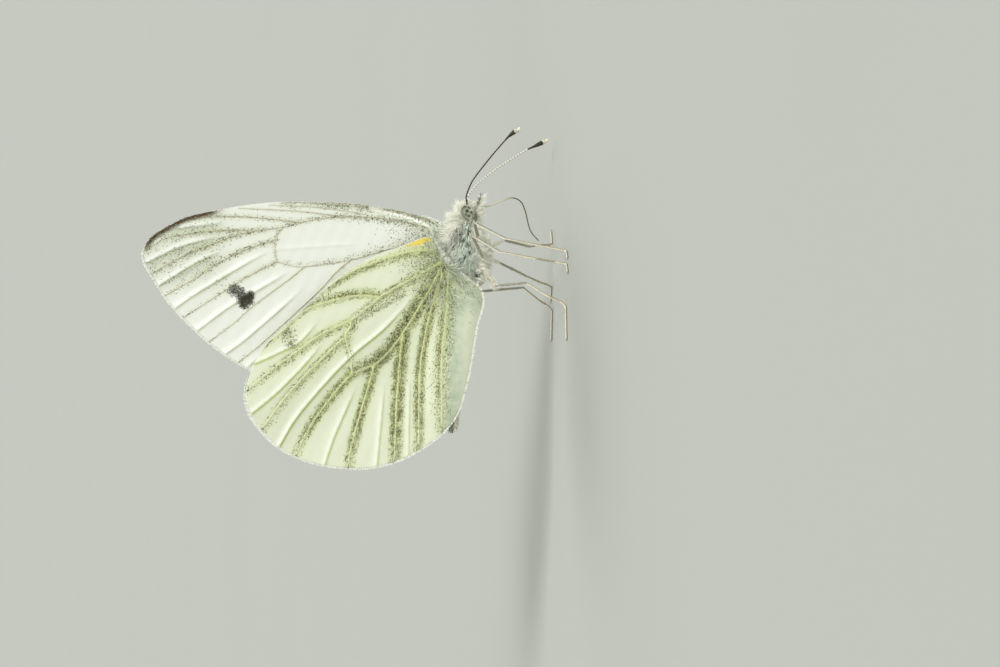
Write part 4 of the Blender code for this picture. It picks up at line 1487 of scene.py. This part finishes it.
class BUTTERFLY_OT_coat(bpy.types.Operator):
    """Grows the hairs of the thorax, collar, head and abdomen"""
    bl_idname = "butterfly.coat"
    bl_label = "Body hairs"

    def execute(self, context):
        settings = context.scene.butterfly_body
        trunk = Trunk()
        hair, short = hair_shape(), hair_shape("short_hair", bend=0.05)
        flake = tuft_shape("body_scale", ((0.3, 0.8), (0.75, 1.0)), depth=0.15, bend=0.1)
        white = hair_paint("white_hair", settings.cream_hair, settings.white_hair, 0.6)
        grey = hair_paint("grey_hair", settings.grey_hair, settings.blue_hair, 0.5)
        black = hair_paint("black_hair", settings.mark, (0.12, 0.12, 0.09), sheen=0)
        dark_flake = hair_paint("back_scales", settings.back, settings.flank)
        light_flake = hair_paint("belly_scales", settings.belly, settings.white_hair)
        rings = trunk.x < ABDOMEN_X
        throat = trunk.head * trunk.below
        length, width = settings.hair, settings.hair_width
        light_back = trunk.collar + 0.7 * trunk.back * ease(trunk.x, 3.3, 0.7)
        plain = np.clip(1 - 1.3 * trunk.marks, 0, 1)
        upright = trunk.skin.normals * (1, 0.6, 0.6) + np.array((0.1, 0, 0.8))
        reach = eye_reach(trunk.skin.points)
        cheek = ease(reach, 1.5, -0.2) * (reach > 0.75) * (trunk.x > FACE_X)
        low_cheek = ease(trunk.skin.points[:, 2], 6.75, -0.2)
        sides = np.sign(trunk.skin.points[:, 1])
        over_eye = (np.array(EYE_CENTRE) - trunk.skin.points) * (0.6, 0, 0.6)
        over_eye[:, 1] = sides
        for name, shape, paint, lie, thick, long, density, across in (
            ("collar_hair", hair, white, trunk.lie(0.35, 0, 0.25 * trunk.back),
             light_back * plain, 0.75 + 0.3 * trunk.collar, 240, width * 1.2),
            ("breast_hair", hair, white, trunk.lie(0.7, 0, -0.3),
             trunk.below * trunk.thorax * plain, 0.85, 340, width * 1.2),
            ("rear_hair", hair, grey, trunk.lie(0.5, 0, 0.3), trunk.rear * plain, 0.75, 110,
             width),
            ("ruff_hair", hair, white, upright, trunk.ruff * plain, 1.0, 230, width * 1.1),
            ("flank_hair", short, grey, trunk.lie(0.35, 0, 0.15), trunk.flank, 0.46, 170,
             width * 1.3),
            ("flank_pale_hair", short, white, trunk.lie(0.4, 0, 0.35), trunk.flank, 0.5, 55,
             width),
            ("dark_hair", short, black, trunk.lie(0.5, 0, 0.3),
             trunk.flank * 0.24 + 2.6 * trunk.marks, 0.34 + 0.35 * trunk.marks, 160, width),
            ("head_hair", hair, white, trunk.lie(0.6, trunk.x > 5.9, -0.3 * throat),
             trunk.head * trunk.open, 0.42 + 0.3 * throat, 230, width * 1.2),
            ("crest_hair", hair, white, trunk.skin.normals * 0.4 + np.array((1.0, 0, 0.1)),
             bell(trunk.x - 6.35, 0.25) * (trunk.dorsal > 0.5), 0.95, 60, width * 1.7),
            ("cheek_hair", hair, white, over_eye, cheek * (0.35 + 0.65 * low_cheek),
             0.55 + 0.6 * low_cheek, 330, width),
            ("back_scales", flake, dark_flake, trunk.lie(0.1),
             ease(trunk.dorsal, -0.35, 0.5) * rings, 0.24, 120, settings.scale_width),
            ("back_hair", short, grey, trunk.lie(0.35), ease(trunk.dorsal, -0.1, 0.4) * rings,
             0.45, 60, width),
            ("belly_scales", flake, light_flake, trunk.lie(0.1),
             ease(trunk.dorsal, 0.15, -0.5) * rings, 0.24, 120, settings.scale_width),
        ):
            slot = "grey_body" if shape == flake else "white_body"
            cover(name, [trunk.skin], slot, shape, paint, lie, thick, long, density, length,
                  across)
        discard(hair, short, flake)
        return {"FINISHED"}


# ---------------- head parts

class BUTTERFLY_OT_eyes(bpy.types.Operator):
    """Builds the faceted eyes"""
    bl_idname = "butterfly.eyes"
    bl_label = "Eyes"

    def execute(self, context):
        settings = context.scene.butterfly_head
        paint = Paint(
            "eye", Roughness=0.3, Specular_IOR_Level=0.5, Coat_Weight=0.3, Coat_Roughness=0.1)
        shade = paint.mix(settings.eye, settings.eye_light, paint.attribute("light"))
        shade = paint.mix(shade, settings.eye_below, paint.attribute("below"))
        shade = paint.mix(shade, settings.eye_below, (paint.noise(0.12, 3) * 2 - 0.75).within())
        shade = paint.mix(shade, (0.012, 0.014, 0.01), paint.attribute("dark"))
        material = paint.finish(shade, roughness=0.25 + 0.15 * paint.noise(0.2, 2))
        for side_name, side in SIDES.items():
            made = self.facets(f"eye_{side_name}_facets", material, settings)
            x, y, z = EYE_CENTRE
            turned = Matrix.Rotation(-EYE_TILT, 4, "Y")
            sized = Matrix.Diagonal((*Vector(EYE_RADII) * MM, 1))
            place = Matrix.Translation(Vector((x, side * y, z)) * MM + ORIGIN)
            made.data.transform(place @ turned @ sized)
            points = np.array([(v.co - ORIGIN) / MM for v in made.data.vertices])
            set_attributes(made.data, **self.eye_fields(points))
            made.data.shade_smooth()
            made.data.set_sharp_from_angle(angle=FACET_CREASE)
            finish_piece(made, "eye", f"eye_{side_name}")
        return {"FINISHED"}

    def facets(self, name, material, settings):
        """A ball of one unit's radius whose faces each bulge."""
        tree = Growth(
            "facets", depth=settings.facet_depth / MM / EYE_RADII[0], material=material)
        ball = tree.node("GeometryNodeMeshIcoSphere", None, {
            "Radius": 1.0, "Subdivisions": settings.facet_steps})
        cells = tree.node("GeometryNodeDualMesh", None, {0: ball.outputs[0]})
        raised = tree.node("GeometryNodeExtrudeMesh", {"mode": "FACES"}, {
            "Mesh": cells.outputs[0], "Offset Scale": tree.input("depth"), "Individual": True})
        domed = tree.node("GeometryNodeScaleElements", None, {
            "Geometry": raised.outputs["Mesh"], "Selection": raised.outputs["Top"],
            "Scale": FACET_TOP})
        host = add_mesh("eye_host", [(0, 0, 0)], [])
        made = tree.apply(host, name, tree.realised(domed.outputs[0]))
        discard(host)
        return made

    def eye_fields(self, points):
        """Dark spots, a dark lower rear, a light lower front, and a dark line and pale edge above."""
        x, z = points[:, 0], points[:, 2]
        below = ease(((6.1 - x) * 0.45 + (6.62 - z) * 1.1) / 0.5) * 0.85
        reach = eye_reach(points * (1, 0, 1) + np.array((0, EYE_CENTRE[1], 0)))
        upper = ease(z, 6.6, 0.2)
        line = bell(reach - 0.78, 0.06) * upper * 0.8
        dark = np.zeros(len(x))
        for spot_x, spot_z, radius, darkness in EYE_SPOTS:
            away = np.hypot(x - spot_x, z - spot_z) / radius
            dark = np.maximum(dark, darkness * np.clip((1.45 - away) * 1.6, 0, 1))
        light = patch(x, z, (6.5, 6.5), 0.3) + ease(reach, 0.84, 0.06) * upper
        return {"below": np.maximum(below * (reach < 0.97), line), "dark": dark,
                "light": np.clip(light, 0, 1)}


class BUTTERFLY_OT_head_parts(bpy.types.Operator):
    """Builds the palps with their long hairs and the lobes over the wing roots"""
    bl_idname = "butterfly.head_parts"
    bl_label = "Palps and shoulder lobes"

    def execute(self, context):
        settings = context.scene.butterfly_body
        hair = hair_shape("part_hair", bend=0.1)
        white = hair_paint("palp_hair", settings.cream_hair, settings.white_hair, 0.6)
        black = hair_paint(
            "palp_dark_hair", (0.006, 0.006, 0.005), (0.03, 0.028, 0.02), sheen=0)
        horn = Paint("palp_horn", Roughness=0.5)
        horn = horn.finish(horn.mix((0.45, 0.43, 0.37), (0.7, 0.68, 0.6), horn.noise(0.1)))
        for side_name, side in SIDES.items():
            mirror = np.array((1, side, 1))
            palp = smooth_route(np.array(PALP) * mirror, 0.06)
            taper = np.interp(np.linspace(0, 1, len(palp)), (0, 0.5, 1), (0.12, 0.13, 0.05))
            core = tube(palp, taper, sides=10)
            lobe = smooth_route(np.array(TEGULA) * mirror, 0.08)
            bulge = np.sin(np.linspace(0.25, pi - 0.35, len(lobe))) * 0.26
            shell = tube(lobe, bulge, sides=14, width=0.7)
            for name, part in (("palp", core), ("tegula", shell)):
                piece = join_tubes(f"{name}_{side_name}_core", [part])
                finish_piece(piece, "white_body", f"{name}_{side_name}", paint=horn)
            under = ease(core.normals[:, 2], 0.3, -0.6)
            down = core.tangents * 0.65 + core.normals * 0.6
            down[:, 2] -= 0.35 * under
            outward = core.normals[:, 2] * 0.7 + core.normals[:, 1] * side
            upper = (outward > 0.75) & (core.normals[:, 2] > 0) & (core.along > 0.3)
            ahead = core.tangents * 0.9 + core.normals * 0.2
            swept = -shell.tangents * 0.2 + shell.normals * 0.5 + np.array((-0.6, 0, 0.45))
            size = settings.hair, settings.hair_width * 0.9
            cover(f"palp_{side_name}_hair", [core], "white_body", hair, white, down, 1.0,
                  0.28 + 0.34 * under, 330, *size, stray=0.2)
            cover(f"palp_{side_name}_dark_hair", [core], "white_body", hair, black, ahead,
                  upper, 0.42, 420, *size, lift=0.1, stray=0.1)
            cover(f"tegula_{side_name}_hair", [shell], "white_body", hair, white, swept, 1.0,
                  0.8, 190, *size)
            rear_edge = (shell.normals[:, 0] < -0.25) & (shell.along > 0.25)
            cover(f"tegula_{side_name}_dark_hair", [shell], "white_body", hair, black,
                  swept + shell.normals * 0.5, rear_edge, 0.6, 90, *size, stray=0.5)
        discard(hair)
        return {"FINISHED"}


# ---------------- feelers and tongue

ANTENNAE = {                  # x, y, z from the head to the club
    "right": (
        (6.6, -0.3, 6.8), (7.0, -0.4, 6.86), (7.4, -0.48, 6.93), (8.14, -0.98, 6.73),
        (8.8, -1.48, 6.4), (10.18, -2.6, 5.41), (11.42, -3.62, 4.42), (11.9, -4.05, 3.95),
        (12.22, -4.42, 3.5)),
    "left": (
        (6.6, 0.3, 6.8), (7.0, 0.36, 6.82), (7.5, 0.42, 6.7), (8.25, 0.82, 6.1),
        (8.87, 1.18, 5.38), (9.96, 1.98, 3.83), (10.88, 2.73, 2.28), (11.24, 3.05, 1.5),
        (11.66, 3.4, 0.62)),
}
TONGUE = ((6.75, 0, 5.95), (6.72, 0, 5.3), (6.9, 0, 4.8), (7.2, 0, 4.1), (7.36, 0, 3.5),
          (7.1, 0, 2.9), (6.45, 0, 2.57), (5.0, 0, 2.18), (4.25, 0, 1.6))


class BUTTERFLY_OT_feelers(bpy.types.Operator):
    """Strings the beads of the antennae and draws the tongue"""
    bl_idname = "butterfly.feelers"
    bl_label = "Antennae and tongue"

    def execute(self, context):
        settings = context.scene.butterfly_head
        bead = self.bead_shape()
        material = self.antenna_paint(settings)
        for side_name in SIDES:
            made = self.string_beads(side_name, bead, material, settings)
            finish_piece(made, "dark_horn", f"antenna_{side_name}")
        discard(bead)
        self.add_tongue(settings)
        return {"FINISHED"}

    def bead_shape(self):
        """One joint of an antenna: a short barrel along +Z, swollen at its outer end."""
        rings = np.array((-0.5, -0.42, -0.1, 0.25, 0.44, 0.5))
        widths = np.array((0.55, 0.84, 0.9, 1.0, 0.95, 0.6))
        route = np.stack([rings * 0, rings * 0, rings], axis=1)
        made = join_tubes("bead", [tube(route, widths, sides=10, domes=False)])
        made.data.transform(Matrix.Scale(1 / MM, 4) @ Matrix.Translation(-ORIGIN))
        return made

    def string_beads(self, side_name, bead, material, settings):
        route = smooth_route(ANTENNAE[side_name], 0.1)
        share = np.linspace(0, 1, len(route))
        club = np.interp(share, (0, 0.05, 0.1, 0.82, 0.87, 0.91, 0.94, 0.97, 1.0),
                         (1.9, 1.4, 1.0, 1.05, 1.5, 2.5, 3.0, 2.9, 1.7))
        host = add_mesh(
            "antenna_host", route, [], [(i, i + 1) for i in range(len(route) - 1)])
        set_attributes(host.data, swell=club, share=share)
        tree = Growth(
            "beads", shape=bead, spacing=settings.bead, radius=settings.antenna_radius,
            material=material)
        along = tree.turned("Z", tree.number("GeometryNodeInputTangent"))
        across = tree.input("radius") * tree.attribute("swell")
        size = tree.stretch(across, across, tree.input("spacing") * BEAD_OVERLAP)
        placed = tree.copies(tree.spaced_line(tree.input("spacing")), along, size)
        made = tree.apply(host, f"antenna_{side_name}_beads", tree.realised(placed))
        discard(host)
        for layer in list(made.data.uv_layers):
            made.data.uv_layers.remove(layer)
        facing = np.zeros(len(made.data.vertices) * 3)
        made.data.vertices.foreach_get("normal", facing)
        toward = facing.reshape(-1, 3)[:, 1] * -SIDES[side_name]
        set_attributes(made.data, inner=ease(toward, -0.45, 0.5))
        return made

    def antenna_paint(self, settings):
        """Dark joints, each white-ringed on its inner side, and a pale tip."""
        paint = Paint("antenna", Roughness=0.42, Specular_IOR_Level=0.4)
        ring = (paint.attribute("along") < 0.6) * paint.attribute("inner")
        ring = ring * (paint.attribute("share") < 0.82)
        grain = paint.noise(0.06, 2)
        shade = paint.mix(settings.horn, settings.horn_light, grain)
        shade = paint.mix(shade, (0.86, 0.86, 0.76), ring * 0.95)
        tip = ((paint.attribute("share") - 0.957) * 50).within()
        shade = paint.mix(shade, (0.92, 0.86, 0.66), tip)
        return paint.finish(shade, bump=grain, height=0.01)

    def add_tongue(self, settings):
        route = smooth_route(TONGUE, 0.06)
        share = np.linspace(0, 1, len(route))
        radius = settings.tongue_radius / MM * np.interp(share, (0, 0.1, 1), (1.2, 1.0, 0.75))
        ribs = 1 + 0.08 * np.sin(np.arange(len(route)) * pi / 2)
        piece = join_tubes("proboscis_tube", [tube(route, radius * ribs, sides=10)])
        paint = Paint("tongue", Roughness=0.35, Specular_IOR_Level=0.45)
        far = ((paint.attribute("along") - 0.3) * 7).within()
        shade = paint.mix((0.62, 0.6, 0.42), (0.09, 0.085, 0.045), far)
        shade = paint.mix(shade, (0.3, 0.27, 0.14), paint.noise(0.1) * 0.3)
        finish_piece(piece, "dark_horn", "proboscis_base", "proboscis_tip",
                     paint=paint.finish(shade, bump=paint.noise(0.04)))


# ---------------- legs

LEGS = {                      # root in the thorax, hip, knee, ankle, heel, toe
    "fore_right": ((4.1, -0.6, 6.0), (4.5, -1.35, 6.15), (5.5, -2.6, 6.55),
                   (4.34, -3.3, 4.38), (3.4, -4.7, 0.3), (2.95, -5.4, 0.2)),
    "fore_left": ((3.6, 0.6, 5.9), (3.74, 0.95, 5.1), (4.3, 2.1, 3.9),
                  (3.85, 3.3, 1.85), (4.1, 4.3, 0.25), (4.95, 4.95, 0.2)),
    "mid_right": ((2.9, -0.6, 5.9), (2.9, -1.3, 5.75), (4.6, -2.85, 6.78),
                  (3.36, -3.5, 4.77), (2.45, -4.9, 0.3), (1.9, -5.55, 0.2)),
    "mid_left": ((2.8, 0.6, 5.9), (2.85, 0.95, 5.05), (2.67, 2.3, 4.25),
                 (1.72, 3.6, 2.15), (0.85, 4.75, 0.25), (-0.1, 5.3, 0.2)),
    "hind_right": ((2.1, -0.5, 6.1), (2.15, -1.3, 5.65), (0.9, -2.9, 5.11),
                   (1.13, -3.5, 2.85), (-0.65, -4.35, 0.25), (-2.9, -4.85, 0.2)),
    "hind_left": ((2.0, 0.5, 6.1), (1.8, 0.9, 5.2), (0.5, 2.45, 6.0),
                  (0.84, 3.6, 2.3), (-0.9, 4.4, 0.25), (-3.0, 4.85, 0.2)),
}
LIMB_RADII = (                # at its start, near its middle and at its end
    (0.26, 0.2, 0.13), (0.1, 0.125, 0.09), (0.08, 0.09, 0.08),
)
TARSAL_JOINTS = (0.0, 0.42, 0.6, 0.74, 0.86, 1.0)
CLAW = (                      # its way ahead, aside and up from the foot's end
    (0, 0.02, 0), (0.09, 0.06, 0.03), (0.17, 0.09, 0.0), (0.19, 0.095, -0.06),
)
CLAW_RADII = (0.028, 0.006)
FLOOR_CLEARANCE = 0.16        # height below which a leg carries no hairs


class BUTTERFLY_OT_legs(bpy.types.Operator):
    """Builds the six jointed legs with their scales, spines and claws"""
    bl_idname = "butterfly.legs"
    bl_label = "Legs"

    def execute(self, context):
        settings = context.scene.butterfly_legs
        hair = tuft_shape("leg_hair", ((0.05, 0.9), (0.5, 1.0)), bend=0.08, depth=0.3)
        paint = self.leg_paint(settings)
        horn = Paint("claw", Roughness=0.3)
        horn = horn.finish(horn.mix((0.1, 0.06, 0.03), (0.25, 0.15, 0.08), horn.noise(0.05)))
        scales = hair_paint("leg_scales", settings.cream, settings.white, 0.6)
        spines = hair_paint("leg_spines", settings.under, settings.cream)
        for name, stations in LEGS.items():
            points = [np.array(point) for point in stations]
            for point in points[-2:]:
                point[2] = settings.foot_radius / MM
            limbs = [
                self.limb(start, end, radii, (number, 0, 3))
                for number, (start, end, radii) in enumerate(zip(points, points[1:], LIMB_RADII))]
            joints, claws = self.foot(*points[-3:], settings)
            tubes = limbs + joints
            number = np.concatenate([np.full(len(p.points), n) for n, p in enumerate(tubes)])
            normals = np.vstack([part.normals for part in tubes])
            outer_side = normals[:, 1] * points[1][1] * (name[:4] != "hind")
            below = np.where(number == 1, outer_side > 0, normals[:, 2] < 0.3)
            leg = join_tubes(
                f"leg_{name}_skin", tubes, below=below * 1.0, tarsal=(number > 2) * 1.0,
                hairy=(number <= (name == "hind_right")) * 1.0)
            parts = [f"leg_{name}_{part}" for part in ("femur", "tibia", "tarsus")]
            finish_piece(leg, "leg", *parts, paint=paint)
            finish_piece(join_tubes(f"leg_{name}_claws", claws), "dark_horn", paint=horn)
            lie = np.vstack([part.tangents for part in tubes]) * 0.9 + normals * 0.3
            shaggy = 2.6 if name == "hind_right" else 1.0
            light = np.choose(np.minimum(number, 3), (1.6, 0.9 * shaggy, 0.7, 0.5))
            on_floor = np.vstack([part.points for part in tubes])[:, 2] < FLOOR_CLEARANCE
            light = light * (0.12 + 0.88 * (below < 0.5)) * (1 - on_floor)
            long = np.choose(np.minimum(number, 3), (2.2, 1.3 * shaggy, 0.8, 0.7))
            size = settings.scale, settings.scale_width
            cover(f"leg_{name}_scales", tubes, "leg", hair, scales, lie, light, long,
                  settings.scales, *size, stray=0.15)
            cover(f"leg_{name}_spines", tubes, "leg", hair, spines, lie,
                  (normals[:, 2] < 0.1) * (number > 1) * (1 - on_floor), 0.85,
                  settings.spines, *size, lift=0.25, stray=0.1)
        discard(hair)
        return {"FINISHED"}

    def limb(self, start, end, radii, tile):
        share = np.linspace(0, 1, 22)
        route = start + (end - start) * share[:, None]
        swell = np.interp(share, (0, 0.35, 1), radii)
        swell = swell * (1 - 0.18 * bell(share, 0.05) - 0.1 * bell(share - 1, 0.05))
        return tube(route, swell, sides=12, tile=tile)

    def foot(self, ankle, heel, toe, settings):
        """Five joints that come down from the ankle and lie along the floor, and two claws."""
        route = smooth_route((ankle, (ankle + heel) / 2, heel, toe), 0.03)
        share = np.linspace(0, 1, len(route))
        radius = settings.foot_radius / MM
        route[:, 2] = np.maximum(route[:, 2], radius)
        joints = []
        for number, (start, end) in enumerate(zip(TARSAL_JOINTS, TARSAL_JOINTS[1:])):
            at = np.linspace(start, end, 9)
            stretch = np.stack([np.interp(at, share, part) for part in route.T], axis=1)
            flare = radius * np.linspace(0.72, 0.98, len(at))
            joints.append(tube(stretch, flare, sides=10, tile=(number % 3, 1 + number // 3, 3)))
        run = unit(route[-1] - route[-8])
        aside = np.cross(run, (0, 0, 1.0))
        claws = []
        for turn in (-1, 1):
            curve = [route[-1] + run * reach + aside * turn * spread + (0, 0, rise)
                     for reach, spread, rise in CLAW]
            hook = smooth_route(curve, 0.02)
            claws.append(tube(hook, np.linspace(*CLAW_RADII, len(hook)), sides=8))
        return joints, claws

    def leg_paint(self, settings):
        """Cream horn, darker beneath, turning to amber on the foot."""
        paint = Paint("leg", Roughness=0.45, Specular_IOR_Level=0.4)
        grain = paint.noise(0.15, 3)
        shade = paint.mix(settings.cream, settings.white, grain)
        shade = paint.mix(shade, settings.amber, paint.attribute("tarsal") * (0.25 + 0.4 * grain))
        shade = paint.mix(shade, settings.under, paint.attribute("below") * (0.6 + 0.4 * grain))
        shade = paint.mix(shade, settings.white, paint.attribute("hairy"))
        return paint.finish(shade, bump=paint.noise(0.04, 2), height=0.015)


# ---------------- stage

class BUTTERFLY_OT_stage(bpy.types.Operator):
    """Sets the floor, the lights and the camera"""
    bl_idname = "butterfly.stage"
    bl_label = "Stage"

    def execute(self, context):
        settings = context.scene.butterfly_stage
        self.add_floor(settings)
        self.add_camera(context, settings)
        self.add_light(context, settings)
        return {"FINISHED"}

    def add_floor(self, settings):
        bpy.ops.mesh.primitive_circle_add(
            vertices=FLOOR_CORNERS, radius=settings.floor_radius, fill_type="NGON")
        floor = bpy.context.object
        floor.name = "floor"
        paint = Paint("floor", Roughness=0.9, Specular_IOR_Level=0.1)
        grain = paint.noise(FLOOR_GRAIN, 2)
        light, dark = [[part * share for part in settings.floor] for share in FLOOR_SHARES]
        shade = paint.mix(light, dark, grain)
        floor.data.materials.append(paint.finish(shade))

    def add_camera(self, context, settings):
        data = bpy.data.cameras.new("camera")
        camera = add_object("camera", data)
        data.lens = settings.lens
        distance = settings.width_in_view * settings.lens / data.sensor_width
        tilt = settings.elevation
        look = Vector((0, cos(tilt), -sin(tilt)))
        right, up = Vector((0, -sin(tilt), -cos(tilt))), Vector((1, 0, 0))
        aim = Vector(AIM) * MM + ORIGIN
        camera.matrix_world = Matrix.Translation(aim - look * distance) @ Matrix((
            right, up, -look)).transposed().to_4x4()
        data.clip_start, data.clip_end = distance / 20, settings.floor_radius * 4
        context.scene.camera = camera

    def add_light(self, context, settings):
        scene = context.scene
        scene.view_settings.view_transform = "Standard"
        world = bpy.data.worlds.new("studio")
        world.use_nodes = True
        background = world.node_tree.nodes["Background"]
        background.inputs["Color"].default_value = (*settings.floor, 1)
        background.inputs["Strength"].default_value = settings.background
        scene.world = world
        for name, toward, strength, spread in LAMPS:
            data = bpy.data.lights.new(name, "SUN")
            data.energy, data.angle = strength, radians(spread)
            lamp = add_object(name, data)
            lamp.rotation_euler = Vector(toward).to_track_quat("Z", "Y").to_euler()


FLOOR_SHARES = (1.01, 0.99)   # lightest and darkest grain of the floor against its setting
FLOOR_CORNERS, FLOOR_GRAIN = 96, 60.0   # the floor's corners and the width of its grain (mm)
AIM = (-2.55, 0.0, 4.4)       # the middle of the picture, in the body's own frame
LAMPS = (                     # name, direction towards the lamp, strength, spread
    ("key", (0.75, -0.85, 0.75), 1.75, 25),
    ("fill", (-0.2, -1.0, 0.05), 1.3, 90),
    ("back", (0.3, 1.0, 0.8), 0.9, 40),
)


class BUTTERFLY_PT_panel(bpy.types.Panel):
    """Lists the pieces in the sidebar"""
    bl_label = "Butterfly"
    bl_idname = "BUTTERFLY_PT_panel"
    bl_space_type = "VIEW_3D"
    bl_region_type = "UI"
    bl_category = "Butterfly"

    def draw(self, context):
        for operator in OPERATORS:
            self.layout.operator(operator.bl_idname)
        for name, settings in SETTINGS.items():
            box = self.layout.box()
            for key in settings.__annotations__:
                box.prop(getattr(context.scene, name), key)


OPERATORS = (
    BUTTERFLY_OT_wings, BUTTERFLY_OT_wing_scales, BUTTERFLY_OT_body, BUTTERFLY_OT_coat,
    BUTTERFLY_OT_eyes, BUTTERFLY_OT_head_parts, BUTTERFLY_OT_feelers, BUTTERFLY_OT_legs,
    BUTTERFLY_OT_stage,
)
SETTINGS = {
    "butterfly_wings": WingSettings, "butterfly_coat": CoatSettings,
    "butterfly_body": BodySettings, "butterfly_head": HeadSettings,
    "butterfly_legs": LegSettings, "butterfly_stage": StageSettings,
}
CLASSES = (*SETTINGS.values(), *OPERATORS, BUTTERFLY_PT_panel)


def register():
    for piece in CLASSES:
        bpy.utils.register_class(piece)
    for name, settings in SETTINGS.items():
        setattr(bpy.types.Scene, name, PointerProperty(type=settings))


def unregister():
    for name in SETTINGS:
        delattr(bpy.types.Scene, name)
    for piece in reversed(CLASSES):
        bpy.utils.unregister_class(piece)


def main():
    register()
    for operator in OPERATORS:
        group, name = operator.bl_idname.split(".")
        getattr(getattr(bpy.ops, group), name)()


if __name__ == "__main__":
    main()
